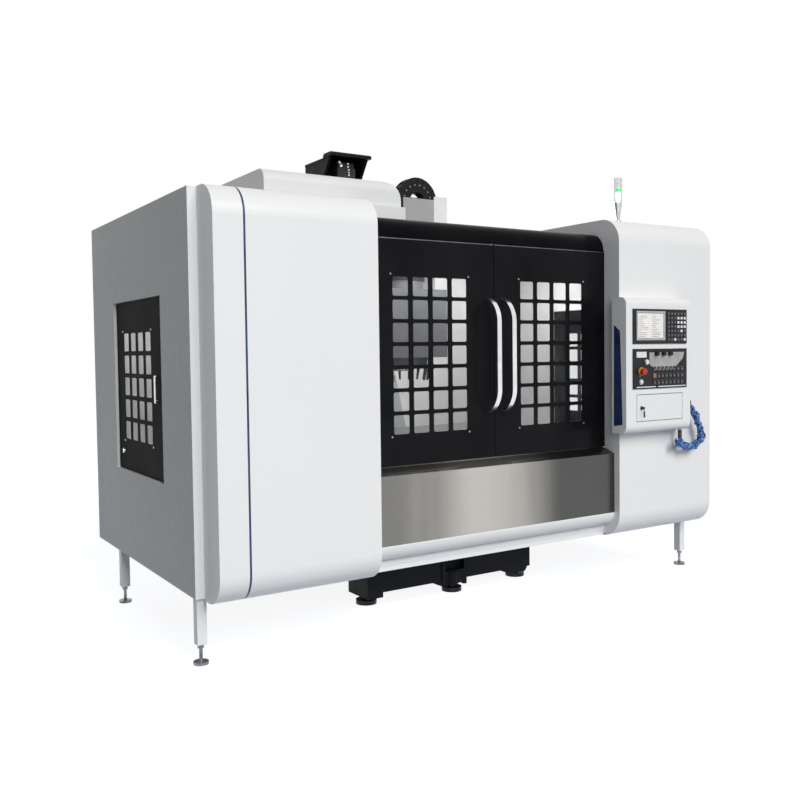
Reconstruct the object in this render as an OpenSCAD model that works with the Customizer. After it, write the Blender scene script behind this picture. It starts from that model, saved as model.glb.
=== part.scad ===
// Vertical machining centre in a full enclosure with twin sliding front doors.
// Millimetres, +Z up, the front faces -Y. X is measured from the machine's middle.
// Inside the modules Y = 0 is the front plane of the enclosure box and Z = 0 the floor.

/* [Enclosure] */
// width of the enclosure box
box_width = 3611; // [3560:1:3760]
// depth of the enclosure box
box_depth = 1812; // [1800:1:1900]
// floor to the underside of the box
box_bottom = 338; // [320:1:360]
// floor to the top of the box and the left cowl
box_top = 2338; // [2320:1:2360]
// floor to the top of the right cowl and the roof behind it
cabinet_top = 2350; // [2330:1:2370]
// thickness of the sheet covers
sheet = 4; // [3:0.5:5]
// plain strip of the box beside each cowl
corner_strip = 47; // [40:1:60]
// how far the cowls stand out in front of the box
cowl_depth = 207; // [200:1:230]
// radius of the cowls' top and bottom front edges
cowl_radius = 150; // [120:1:170]
// width of the left cowl
left_cowl_width = 893; // [885:1:905]
// width of the right cowl
right_cowl_width = 867; // [855:1:880]
// square tube of the enclosure legs
leg_size = 50; // [40:1:60]

/* [Front doors] */
// floor to the underside of the doors
door_bottom = 908; // [900:1:920]
// floor to the top of the doors
door_top = 2146; // [2120:1:2150]
// front face of the doors, ahead of the box
door_set = 76; // [70:1:82]
// thickness of a door
door_thick = 40; // [34:1:46]
// width of one window cell of the side doors
cell_width = 102; // [90:1:110]
// height of one window cell
cell_height = 104; // [90:1:110]
// how far a handle stands out from its door
handle_bow = 118; // [100:1:120]

/* [Side doors] */
// front edge of a side opening
side_front = 445; // [430:1:470]
// rear edge of a side opening
side_rear = 1335; // [1310:1:1360]
// bottom edge of a side opening
side_bottom = 850; // [830:1:870]
// top edge of a side opening
side_top = 1842; // [1820:1:1860]
// depth of the recess the side doors sit in
recess = 16; // [12:1:22]

/* [Machine] */
// spindle axis behind the front plane
spindle_y = 900; // [890:1:910]
// floor to the spindle nose at rest
nose_z = 1400; // [1395:1:1420]
// floor to the top of the base casting
base_top = 560; // [540:1:580]
// length of the table
table_length = 1700; // [1600:1:1720]
// depth of the table
table_depth = 800; // [760:1:820]
// width of a guide rail
rail_width = 55; // [45:1:65]
// ball screw radius
screw_radius = 25; // [20:1:28]
// front face of the column, behind the front plane
column_front = 1750; // [1746:1:1764]
// floor to the top of the column
column_top = 2600; // [2580:1:2620]
// tool disc pitch radius
disc_radius = 420; // [410:1:425]
// tools in the disc
tool_count = 24; // [20:1:24]
// pivot to gripper centre of the tool arm
arm_reach = 380; // [375:1:390]

/* [Operator panel] */
// width of the control box
pendant_width = 589; // [580:1:600]
// depth of the control box
pendant_depth = 116; // [108:1:122]
// floor to the underside of the control box
pendant_bottom = 1008; // [1000:1:1018]
// floor to the top of the control box
pendant_top = 1848; // [1830:1:1860]
// radius of the control hose
hose_radius = 13; // [10:1:15]

/* [Hidden] */
$fn = 64;

// clearance between faces that slide past each other
slide_gap = 0.3;
// radial clearance of pins and shafts that turn
turn_gap = 0.1;

// edges of the enclosure and its front
half = box_width / 2;
strip_end = half - corner_strip - 20;
cowl_x0 = -half + corner_strip;
cowl_x1 = cowl_x0 + left_cowl_width;
cab_x1 = half - corner_strip;
cab_x0 = cab_x1 - right_cowl_width;
cowl_bottom = box_bottom - 12;
jamb_back = -door_set - 5;
stripe_width = 11;

// front doors and what they run in
door_y0 = -door_set;
door_y1 = door_y0 + door_thick;
door_lap = 30;
door_skin = 4;
meet_gap = 4;
window_offset = 200;
window_bottom = door_bottom + 173;
window_edge = 197.5;
col_bar = 30;
row_pitch = cell_height + 21.6;
door_cols = 4;
col_pitch = (door_lap - cowl_x1 - window_edge - window_offset + col_bar) / door_cols;
front_cell = col_pitch - col_bar;
door_rows = 7;
track_y = door_y0 + 20;
head_bottom = door_top + 4;
head_top = head_bottom + 115;
head_round = 110;
head_back = door_y0 + 3 + head_round + 20;
cab_wall_rear = 1540;
sill_top = door_bottom - 5;
apron_front = -163;
apron_bottom = 497;

// side doors
side_door_thick = 30;
side_cell_y = side_front + 225;
side_cell_z = side_bottom + 187;
side_col_pitch = cell_width + 37;
side_row_pitch = cell_height + 25;
side_swing_gap = (sqrt(2) - 1) * side_door_thick / 2 + 0.8;
side_leaf_rear = side_rear - side_swing_gap;
side_hinge_x = half - recess - side_door_thick / 2;
side_hinge_y = side_leaf_rear - side_door_thick / 2;
side_pin_r = 6;
side_pin_run = 20;

// base, slides and column
base_front = 420;
base_rear = 2500;
base_half = 690;
wall_left = -base_half + 103;
front_feet = [[wall_left + 36, base_front + 80], [47, base_front + 18], [base_half - 68, base_front + 78]];
rear_feet = [for (x = [90 - base_half, base_half - 90], y = [1300, base_rear - 100]) [x, y]];
base_bottom = 40;
beam_bottom = 70;
rail_height = 48;
slide_rise = 80;
rail_x = 560;
saddle_bottom = base_top + slide_rise;
saddle_top = saddle_bottom + 160;
saddle_half_x = 1050;
saddle_front = 330;
saddle_back = 440;
x_rail_y = 250;
table_bottom = saddle_top + slide_rise;
table_top = table_bottom + 100;
x_screw_z = saddle_top - 15;
y_screw_z = base_top - 10;
z_screw_y = column_front - 35;
z_rail_x = 330;
column_half = 440;
head_rear = column_front - slide_rise;
head_bottom_z = nose_z + 90;
head_top_z = nose_z + 600;
seat_top = column_top + 383;
chain_radius = 183;
link_height = 115;
link_width = 80;
guard_x0 = 503;
guard_x1 = 917;

// tool change gear
disc_y = spindle_y;
disc_z = nose_z + 560;
disc_x = -755;
pot_radius = 40;
arm_x = -arm_reach;
arm_top = nose_z - 15;
arm_bottom = arm_top - 40;
arm_shaft_r = 35;

// control box and its controls
pendant_x1 = half - 389;
pendant_x0 = pendant_x1 - pendant_width;
pendant_y1 = -cowl_depth;
pendant_y0 = pendant_y1 - pendant_depth;
plate = 6;
display_z0 = pendant_bottom + 552;
display_z1 = display_z0 + 216;
operator_z0 = pendant_bottom + 273;
operator_z1 = operator_z0 + 248;
unit_x0 = pendant_x0 + 55;
unit_x1 = pendant_x1 - 42;
face_y = pendant_y0 - plate;
locker_x0 = pendant_x0 + 95;
locker_x1 = pendant_x1 - 79;
locker_z0 = pendant_bottom + 73;
locker_z1 = locker_z0 + 162;
locker_axis_x = locker_x1 + 2;
locker_axis_y = pendant_y0 - 3;
estop = [pendant_x0 + 127, operator_z0 + 108];
knob_x = [pendant_x0 + 258, pendant_x0 + 322, pendant_x0 + 382];
knob_z = operator_z0 + 217;
start_at = [pendant_x0 + 120, operator_z0 + 44];
stop_at = [pendant_x0 + 172, operator_z0 + 166];
estop_height = 31;

// route of the control hose: down from the box, round a loop and up to the elbow
hose_turns = [[-30.5, -6], [-30.5, -33], [-29.5, -58], [-22.5, -84], [-6.5, -105], [17.5, -120], [49.5, -127],
  [83.5, -127], [115.5, -119], [143.5, -103], [164.5, -80], [175.5, -52], [173.5, -23], [163.5, 3], [146.5, 32],
  [123.5, 64], [100.5, 96], [77.5, 128], [54.5, 160]];
hose_y = pendant_y1 - 58;
hose_path = [for (p = hose_turns) [pendant_x1 + p[0], hose_y, pendant_bottom + p[1]]];
hose_sides = 12;
elbow_at = [pendant_x1 + 31.5, hose_y, pendant_bottom + 192];
gland_radius = 20;

// the whole machine is centred front to back
front_most = face_y - estop_height;
y_middle = (front_most + base_rear) / 2;

module place() {
  translate([0, -y_middle, 0]) children();
}

module box(x0, x1, y0, y1, z0, z1) {
  translate([x0, y0, z0]) cube([x1 - x0, y1 - y0, z1 - z0]);
}

module rod_x(x0, x1, y, z, r) {
  translate([x0, y, z]) rotate([0, 90, 0]) cylinder(h = x1 - x0, r = r);
}

module rod_y(x, y0, y1, z, r) {
  translate([x, y0, z]) rotate([-90, 0, 0]) cylinder(h = y1 - y0, r = r);
}

module rod_z(x, y, z0, z1, r) {
  translate([x, y, z0]) cylinder(h = z1 - z0, r = r);
}

// a Y-Z outline drawn out along X
module along_x(x0, x1) {
  translate([x0, 0, 0]) rotate([90, 0, 90]) linear_extrude(x1 - x0) children();
}

// an X-Z outline drawn out along Y
module along_y(y0, y1) {
  translate([0, y1, 0]) rotate([90, 0, 0]) linear_extrude(y1 - y0) children();
}

module round_square(w, h, r) {
  translate([r, 0]) square([w - 2 * r, h]);
  translate([0, r]) square([w, h - 2 * r]);
  for (x = [r, w - r], y = [r, h - r]) translate([x, y]) circle(r);
}

// Y-Z outline whose two front corners are round
module front_outline(front, back, bottom, top, r) {
  translate([front, bottom + r]) square([back - front, top - bottom - 2 * r]);
  translate([front + r, bottom]) square([back - front - r, top - bottom]);
  intersection() {
    for (z = [bottom + r, top - r]) translate([front + r, z]) circle(r);
    translate([front, bottom]) square([r + 1, top - bottom]);
  }
}

module window_cells(x0, z0, cols, rows, dx, dz, w) {
  for (i = [0:cols - 1], j = [0:rows - 1])
    translate([x0 + i * dx, z0 + j * dz]) round_square(w, cell_height, min(10, w / 3));
}

// Base, column and guideways
module base_casting() color("#15181d") {
  difference() {
    union() {
      box(-base_half, base_half, base_front, base_rear, 160, base_top - 60);
      box(-base_half + 60, base_half - 60, base_front, base_rear, base_top - 61, base_top);
      // deep front wall, with a leg at each end
      box(wall_left, base_half, base_front, base_front + 60, beam_bottom, 165);
      box(wall_left, wall_left + 109, base_front, base_front + 236, base_bottom, 165);
      along_y(base_front, base_front + 160) polygon([[base_half - 180, 165], [base_half - 180, base_bottom], [base_half - 40, base_bottom],
        [base_half, 105], [base_half, 165]]);
      // nose under its middle, with a gusset on the left and a lifting lug on the right
      along_y(base_front, base_front + 90) polygon([[-115, beam_bottom + 1], [-45, base_bottom], [96, base_bottom],
        [96, 60], [126, 60], [132, 30], [156, 30], [156, beam_bottom + 1]]);
      rod_z(front_feet[1][0], front_feet[1][1], base_bottom, 120, 40);
      box(-42, -18, base_front - 8, base_front + 10, beam_bottom - 10, 300);
      for (p = rear_feet) box(p[0] - 76, p[0] + 76, p[1] - 44, p[1] + 90, base_bottom, 165);
    }
    // recessed left corner, below the floor of the enclosure
    box(-base_half - 1, wall_left, base_front - 1, base_front + 150, 159, box_bottom - 30);
    box(-10, 136, base_front - 1, base_front + 40, 129, 220);
    box(-110, 110, base_front + 40, column_front, y_screw_z - 90, base_top + 1);
    rod_y(0, base_front - 91, base_front + 41, y_screw_z, screw_radius + turn_gap);
    box(-base_half + 120, base_half - 120, base_front + 240, base_rear - 120, 150, base_top - 160);
  }
}

module levelling_feet() color("#24282d") {
  for (p = concat(front_feet, rear_feet)) machine_foot(p[0], p[1]);
  for (x = [-1, 1], y = [55, 1385]) {
    rod_z(x * (half - leg_size / 2 - 16), y, 0, 14, 38);
    rod_z(x * (half - leg_size / 2 - 16), y, 13, 100, 9);
    translate([x * (half - leg_size / 2 - 16), y, 80]) cylinder(h = 12, r = 17, $fn = 6);
  }
}

module machine_foot(x, y) {
  rod_z(x, y, 0, 26, 64);
  rod_z(x, y, 25, base_bottom, 24);
}

module column() color("#b9bdc0") {
  difference() {
    intersection() {
      along_y(column_front, base_rear) polygon([[-620, base_top], [620, base_top], [620, base_top + 140],
        [column_half, base_top + 940], [column_half, column_top], [-column_half, column_top],
        [-column_half, base_top + 940], [-620, base_top + 140]]);
      along_x(-700, 700) polygon([[column_front, base_top], [base_rear, base_top], [base_rear, base_top + 340],
        [base_rear - 250, column_top], [column_front, column_top]]);
    }
    box(-120, 120, column_front - 1, column_front + 70, base_top + 200, column_top + 1);
    box(-320, 320, column_front + 150, base_rear - 330, base_top + 120, column_top - 80);
    for (z = [base_top + 260, base_top + 900, base_top + 1480])
      translate([0, base_rear - 340, z]) along_y(0, 400) translate([-220, 0]) round_square(440, 360, 60);
  }
  // top bearing of the vertical screw
  difference() {
    box(-119, 119, column_front - 70, column_front + 70, column_top - 90, column_top);
    rod_z(0, z_screw_y, column_top - 91, column_top + 1, screw_radius + turn_gap);
  }
}

module rail_y(x, y0, y1) {
  box(x - rail_width / 2, x + rail_width / 2, y0, y1, base_top, base_top + rail_height);
}

module guide_rails() color("#9aa0a6") {
  for (x = [-rail_x, rail_x]) rail_y(x, base_front + 10, column_front - 20);
  for (x = [-z_rail_x, z_rail_x])
    box(x - rail_width / 2, x + rail_width / 2, column_front - rail_height, column_front,
      base_top + 580, column_top - 20);
}

// Enclosure
module side_panel(top) {
  difference() {
    union() {
      box(-half, -half + sheet, 0, box_depth, box_bottom, top);
      box(-half, -strip_end, 0, sheet, box_bottom, top);
      box(-half, -half + 60, 0, box_depth, box_bottom, box_bottom + sheet);
      box(-half, -half + recess + sheet + side_door_thick, side_front - sheet, side_rear + sheet,
        side_bottom - sheet, side_top + sheet);
    }
    box(-half - 1, -half + recess + sheet + side_door_thick + 1, side_front, side_rear, side_bottom, side_top);
  }
  // pins that the door turns on, in the sill and the head of its recess
  for (z = [side_bottom - 1, side_top - side_pin_run])
    rod_z(-side_hinge_x, side_hinge_y, z, z + side_pin_run + 1, side_pin_r);
}

module left_side_panel() color("#e6e8e8") side_panel(box_top);

module right_side_panel() color("#e6e8e8") mirror([1, 0, 0]) side_panel(cabinet_top);

module cowl(x0, x1, bottom, top, jamb_left) {
  difference() {
    along_x(x0, x1) front_outline(-cowl_depth, 0, bottom, top, cowl_radius);
    along_x(x0 + sheet, x1 - sheet)
      front_outline(-cowl_depth + sheet, 1, bottom + sheet, top - sheet, cowl_radius - sheet);
    // the jamb stops short of the door, which slides in behind it
    if (jamb_left) box(x0 - 1, x0 + sheet + 1, jamb_back, 1, bottom + sheet, top - sheet);
    else box(x1 - sheet - 1, x1 + 1, jamb_back, 1, bottom + sheet, top - sheet);
  }
}

module left_cowl() color("#eceeee") difference() {
  cowl(cowl_x0, cowl_x1, cowl_bottom, box_top, false);
  // groove that the trim strip lies in
  stripe_band();
}

// band of the cowl's skin that the trim strip fills
module stripe_band() {
  x = cowl_x0 + 157;
  w = stripe_width / 2;
  difference() {
    along_x(x - w, x + w) front_outline(-cowl_depth - 1, -20, cowl_bottom - 1, box_top + 1, cowl_radius);
    along_x(x - w - 1, x + w + 1)
      front_outline(-cowl_depth + 2, -19, cowl_bottom + 2, box_top - 2, cowl_radius - 2);
  }
}

module cowl_stripe() color("#26397a") intersection() {
  stripe_band();
  along_x(cowl_x0, cowl_x1) front_outline(-cowl_depth, 0, cowl_bottom, box_top, cowl_radius);
}

module right_cowl() color("#eceeee") {
  cowl(cab_x0, cab_x1, cowl_bottom + 10, cabinet_top, true);
  // its left wall runs on to the rear over the door head
  along_x(cab_x0, cab_x0 + sheet) difference() {
    translate([jamb_back - 1, head_top - head_round])
      square([cab_wall_rear - jamb_back, cabinet_top - sheet - head_top + head_round]);
    head_outline(-1);
  }
}

module door_head() color("#0c0d10") {
  x0 = -strip_end;
  difference() {
    along_x(x0, -x0) difference() {
      head_outline(0);
      head_outline(sheet);
    }
    rail_slot(x0, -x0);
  }
  // solid bar along its lower edge that the slot is cut in
  difference() {
    along_x(x0, -x0) intersection() {
      translate([door_y0 + 3, head_bottom]) square([door_y1 - door_y0 + 1, 45]);
      head_outline(0);
    }
    rail_slot(x0, -x0);
  }
}

module head_outline(inset) {
  r = head_round;
  f = door_y0 + 3;
  translate([f + inset, head_bottom + inset]) square([r + 20 - inset, head_top - r - head_bottom - inset]);
  translate([f + r, head_bottom + inset]) square([20 + (inset > 0 ? 1 : -inset), head_top - head_bottom - 2 * inset]);
  intersection() {
    translate([f + r, head_top - r]) circle(r - inset);
    translate([f, head_top - r - 1]) square([r + 1, r + 1]);
  }
}

// T-shaped slot that the doors hang in
module rail_slot(x0, x1) {
  box(x0 - 1, x1 + 1, track_y - 5, track_y + 5, head_bottom - 1, head_bottom + 14);
  box(x0 - 1, x1 + 1, track_y - 11, track_y + 11, head_bottom + 12, head_bottom + 27);
}

module apron() color("#b5afa4") difference() {
  along_x(cowl_x1, cab_x0) {
    polygon([[apron_front, apron_bottom], [apron_front + sheet, apron_bottom],
      [apron_front + sheet, sill_top - 34], [door_y0 - 4, sill_top - sheet], [-20 - sheet, sill_top - sheet],
      [-20 - sheet, sill_top - 80], [-20, sill_top - 80], [-20, sill_top], [door_y0 - 5, sill_top],
      [apron_front, sill_top - 32]]);
    // ridge that guides the foot of the doors
    translate([track_y - 4, sill_top - 1]) square([8, 13]);
  }
}

module front_skirt() color("#eceeee") {
  r = 90;
  difference() {
    along_x(cowl_x1, cab_x0) {
      intersection() {
        difference() {
          translate([apron_front + r, apron_bottom]) circle(r);
          translate([apron_front + r, apron_bottom]) circle(r - sheet);
        }
        translate([apron_front - 1, apron_bottom - r - 1]) square([r + 1, r + 1]);
      }
      translate([apron_front + r - sheet, apron_bottom - r - 34]) square([sheet, 35 + sheet]);
      translate([apron_front, apron_bottom - 12]) square([sheet, 12]);
    }
    for (x = [cowl_x1 + 260 : 420 : cab_x0 - 60])
      rod_y(x, apron_front + r - sheet - 1, apron_front + r + 1, apron_bottom - r - 18, 6);
  }
}

module chip_pan() color("#a9adb0") {
  x = half - sheet;
  z = box_bottom + sheet;
  difference() {
    union() {
      box(-x, x, sheet, box_depth, z, z + sheet);
      box(cowl_x1 + 6, cab_x0 - 6, apron_front + 90, sheet + 1, z, z + sheet);
      box(cowl_x1 + 6, cab_x0 - 6, apron_front + 90, apron_front + 90 + sheet, z, apron_bottom - 60);
    }
    box(-base_half - slide_gap, base_half + slide_gap, base_front - 110, box_depth + 1, z - 1, z + sheet + 1);
  }
}

module roof_panels() color("#e6e8e8") {
  left_end = hood_x1() + 15;
  difference() {
    union() {
      box(-strip_end, cowl_x1, 0, box_depth - sheet, box_top - sheet, box_top);
      box(cowl_x1 - 1, left_end, head_back, box_depth - sheet, box_top - sheet, box_top);
      box(-half + sheet, -strip_end, sheet, box_depth - sheet, box_top - sheet, box_top);
      // strip that closes the gap behind the door head
      box(cowl_x1 - 30, left_end, head_back, head_back + sheet, head_top - 60, box_top);
    }
    box(hood_x0() + 20, hood_x1() - 20, 100, 1480, box_top - sheet - 1, box_top + 1);
  }
  difference() {
    union() {
      box(cab_x0, strip_end, 0, box_depth - sheet, cabinet_top - sheet, cabinet_top);
      box(strip_end, half - sheet, sheet, box_depth - sheet, cabinet_top - sheet, cabinet_top);
    }
    box(cab_x0 - 1, guard_x1 + 23, cab_wall_rear, box_depth, cabinet_top - sheet - 1, cabinet_top + 1);
  }
}

function hood_x0() = -half + 437;
function hood_x1() = -half + 1270;

// cover over the tool disc, round along its front and its right end
module roof_hood() color("#eceeee") {
  difference() {
    hood_form(0);
    hood_form(sheet);
  }
}

module hood_form(inset) {
  x0 = hood_x0() + inset;
  x1 = hood_x1() - inset;
  top = box_top + 146 - inset;
  bottom = box_top - (inset > 0 ? 1 : 0);
  intersection() {
    along_x(x0, x1) {
      translate([80 + inset, bottom]) square([1420 - 2 * inset, top - bottom - 60]);
      translate([140 + inset, bottom]) square([1360 - 2 * inset, top - bottom]);
      translate([140 + inset, top - 60]) circle(60);
    }
    along_y(79, 1501) {
      translate([x0, bottom]) square([x1 - x0, top - bottom - 110]);
      translate([x0, bottom]) square([x1 - x0 - 110, top - bottom]);
      translate([x1 - 110, top - 110]) circle(110);
    }
  }
}

module rear_panels() color("#dfe2e2") {
  z0 = box_bottom + 2 * sheet;
  for (s = [-1, 1]) {
    top = (s < 0 ? box_top : cabinet_top);
    mirror([s > 0 ? 1 : 0, 0, 0]) {
      box(-half + sheet, -base_half - slide_gap, box_depth - sheet, box_depth, z0, top);
      box(-base_half - 1, -column_half - 20, box_depth - sheet, box_depth, base_top + 940, top);
    }
  }
}

module enclosure_legs() color("#e6e8e8") {
  for (x = [-1, 1], y = [55, 1385]) {
    c = x * (half - leg_size / 2 - 16);
    difference() {
      box(c - leg_size / 2, c + leg_size / 2, y - leg_size / 2, y + leg_size / 2, 100, box_bottom);
      box(c - leg_size / 2 + 4, c + leg_size / 2 - 4, y - leg_size / 2 + 4, y + leg_size / 2 - 4, 108, box_bottom + 1);
    }
  }
}

module lamp_stem() color("#d8d8d4") translate([pendant_x0 + 211, -60, cabinet_top]) {
  cylinder(h = 6, r = 20);
  translate([0, 0, 5]) cylinder(h = 114, r1 = 10, r2 = 26);
}

module lamp_lens() color("#8fe0a8") translate([pendant_x0 + 211, -60, cabinet_top + 119]) {
  cylinder(h = 146, r1 = 26, r2 = 29);
  translate([0, 0, 145]) cylinder(h = 12, r1 = 29, r2 = 24);
}

// Axis drives
module z_motor_seat() color("#0e0f12") {
  difference() {
    box(-170, 170, column_front - 90, column_front + 240, column_top, column_top + 24);
    rod_z(0, z_screw_y, column_top - 1, column_top + 25, screw_radius + 6);
  }
  for (s = [-1, 1]) along_x(s * 150 - 12, s * 150 + 12)
    polygon([[column_front - 60, column_top + 20], [column_front + 240, column_top + 20],
      [column_front + 240, seat_top - 28], [column_front - 150, seat_top - 28], [column_front - 60, seat_top - 150]]);
  along_x(-168, 168) polygon([[column_front - 190, seat_top - 29], [column_front - 60, seat_top - 29],
    [column_front - 60, seat_top - 14], [column_front - 74, seat_top], [column_front - 180, seat_top],
    [column_front - 190, seat_top - 10]]);
  // back plate between the cheeks
  box(-139, 139, column_front + 216, column_front + 240, column_top + 20, seat_top - 28);
  // shelf that the motor stands on
  difference() {
    box(-139, 139, column_front - 120, column_front + 60, column_top + 80, column_top + 96);
    rod_z(0, z_screw_y, column_top + 79, column_top + 97, 50);
  }
}

// servo motor whose flange faces along -Z at the origin
module servo_motor(w, h) {
  difference() {
    union() {
      translate([-w / 2, -w / 2, 0]) cube([w, w, 16]);
      translate([-w / 2 + 6, -w / 2 + 6, 15]) cube([w - 12, w - 12, h - 55]);
      translate([-w / 2 + 14, -w / 2 + 14, h - 41]) cube([w - 28, w - 28, 41]);
      translate([w / 2 - 8, -22, h - 110]) cube([26, 44, 50]);
    }
    for (x = [-1, 1], y = [-1, 1]) translate([x * (w / 2 - 12), y * (w / 2 - 12), -1]) cylinder(h = 18, r = 6);
  }
}

module axis_motors() color("#22262b") {
  translate([0, z_screw_y, column_top + 96]) servo_motor(160, 235);
  translate([0, base_front, y_screw_z]) rotate([90, 0, 0]) servo_motor(150, 215);
}

module x_motor() color("#22262b")
  translate([saddle_half_x + 20, spindle_y, x_screw_z]) rotate([0, 90, 0]) servo_motor(150, 215);

// ball screws of the three slides, drawn as plain rods
module x_screw() color("#aab0b6") {
  rod_x(-saddle_half_x + 10, saddle_half_x + 18, spindle_y, x_screw_z, screw_radius);
}

module y_screw() color("#aab0b6") {
  rod_y(0, base_front + 2, column_front - 20, y_screw_z, screw_radius);
}

module z_screw() color("#aab0b6") {
  rod_z(0, z_screw_y, base_top + 480, column_top + 40, screw_radius);
  rod_z(0, z_screw_y, column_top + 39, column_top + 94, 42);
}

// Cable chain of the head and the guard it stands in
module cable_chain() color("#101216") {
  x0 = chain_x() - chain_radius;
  z = chain_top() - chain_radius;
  y0 = column_front - 86;
  link_run(x0, y0, head_arm_top(), z);
  link_run(chain_x() + chain_radius - link_height, y0, chain_foot(), z);
  difference() {
    translate([chain_x(), y0 + link_width, z]) rotate([90, 0, 0]) rotate_extrude(angle = 180)
      translate([chain_radius - link_height, 0]) square([link_height, link_width]);
    for (a = [9 : 18 : 171]) translate([chain_x(), 0, z]) rotate([0, -a, 0])
      translate([chain_radius - link_height / 2, y0 - 1, 0]) rotate([-90, 0, 0]) cylinder(h = 7, r = 9);
  }
}

module link_run(x0, y0, z0, z1) {
  difference() {
    box(x0, x0 + link_height, y0, y0 + link_width, z0, z1);
    for (z = [z0 + 30 : 46 : z1 - 20]) rod_y(x0 + link_height / 2, y0 - 1, y0 + 6, z, 9);
  }
}

function chain_x() = 645;
function chain_top() = column_top + 285;
function chain_foot() = column_top - 700;
function head_arm_top() = head_top_z + 60;

module chain_guard() color("#9b9ea1") {
  top = column_top + 120;
  foot = chain_foot() - 60;
  y0 = column_front - 102;
  seam = guard_x1 - 126;
  box(column_half, guard_x1, column_front + 4, column_front + 8, foot, top + 26);
  box(guard_x0, seam, y0, y0 + 4, foot, top);
  box(guard_x0, guard_x0 + 4, y0, y0 + 10, foot, top);
  box(seam, guard_x1, y0, y0 + 4, foot, top + 26);
  box(guard_x1 - 4, guard_x1, y0, column_front + 5, foot, top + 26);
  box(guard_x0 + 87, guard_x1 - 3, y0, column_front + 5, chain_foot() - 6, chain_foot());
}

// cabinet at the rear with two tall doors
module electrical_cabinet() color("#d9dcdb") {
  x0 = guard_x1 + 23;
  x1 = half - 105;
  door = (x1 - x0) / 2 - 7;
  difference() {
    union() {
      box(x0, x1, box_depth, box_depth + 480, 430, 2230);
      for (x = [x0 + 4, x1 - 4 - door]) box(x, x + door, box_depth + 479, box_depth + 496, 450, 2210);
    }
    box(x0 + 16, x1 - 16, box_depth + 16, box_depth + 464, 446, 2214);
  }
  for (s = [-1, 1]) {
    x = (x0 + x1) / 2 + s * 50;
    box(x - 12, x + 12, box_depth + 495, box_depth + 520, 1250, 1390);
    box(x + s * 160 - 90, x + s * 160 + 90, box_depth + 40, box_depth + 440, 446, 500);
  }
}

// Saddle and table
// four rail blocks that ride on two rails running along Y
module blocks_y(xs, ys, z) {
  for (x = xs, y = ys) difference() {
    box(x - 70, x + 70, y - 100, y + 100, z + 8, z + slide_rise);
    box(x - rail_width / 2 - slide_gap, x + rail_width / 2 + slide_gap, y - 101, y + 101, z, z + rail_height + slide_gap);
  }
}

module saddle() color("#2f5f7a") {
  y0 = spindle_y - saddle_front;
  y1 = spindle_y + saddle_back;
  difference() {
    box(-saddle_half_x, saddle_half_x, y0, y1, saddle_bottom, saddle_top);
    box(-saddle_half_x + 40, saddle_half_x - 40, spindle_y - 85, spindle_y + 85, saddle_top - 95, saddle_top + 1);
    rod_x(-saddle_half_x - 1, saddle_half_x + 1, spindle_y, x_screw_z, screw_radius + turn_gap);
    for (s = [-1, 1]) box(s * 820 - 150, s * 820 + 150, y0 + 60, y1 - 60, saddle_bottom - 1, saddle_bottom + 50);
  }
  blocks_y([-rail_x, rail_x], [spindle_y + 30, spindle_y + 330], base_top);
  for (s = [-1, 1])
    box(-saddle_half_x, saddle_half_x, spindle_y + s * x_rail_y - rail_width / 2,
      spindle_y + s * x_rail_y + rail_width / 2, saddle_top, saddle_top + rail_height);
  // nut of the lower screw
  difference() {
    box(-90, 90, spindle_y - 30, spindle_y + 110, y_screw_z - 60, saddle_bottom);
    rod_y(0, spindle_y - 31, spindle_y + 111, y_screw_z, screw_radius + turn_gap);
  }
  // plate that carries the drive motor
  difference() {
    box(saddle_half_x - 1, saddle_half_x + 20, spindle_y - 90, spindle_y + 90, saddle_bottom, saddle_top + 60);
    rod_x(saddle_half_x - 2, saddle_half_x + 21, spindle_y, x_screw_z, screw_radius + turn_gap);
  }
}

module table() color("#8e9499") {
  y0 = spindle_y - table_depth / 2;
  difference() {
    box(-table_length / 2, table_length / 2, y0, y0 + table_depth, table_bottom, table_top);
    for (i = [-2:2]) {
      y = spindle_y + i * 145;
      box(-table_length / 2 - 1, table_length / 2 + 1, y - 9, y + 9, table_top - 40, table_top + 1);
      box(-table_length / 2 - 1, table_length / 2 + 1, y - 16, y + 16, table_top - 40, table_top - 24);
    }
  }
  for (x = [-200, 200], s = [-1, 1]) difference() {
    box(x - 90, x + 90, spindle_y + s * x_rail_y - 70, spindle_y + s * x_rail_y + 70, saddle_top + 8, table_bottom);
    box(x - 91, x + 91, spindle_y + s * x_rail_y - rail_width / 2 - slide_gap,
      spindle_y + s * x_rail_y + rail_width / 2 + slide_gap, saddle_top, saddle_top + rail_height + slide_gap);
  }
  // nut of the table screw
  difference() {
    box(-80, 80, spindle_y - 75, spindle_y + 75, x_screw_z - 60, table_bottom);
    rod_x(-81, 81, spindle_y, x_screw_z, screw_radius + turn_gap);
  }
}

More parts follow.
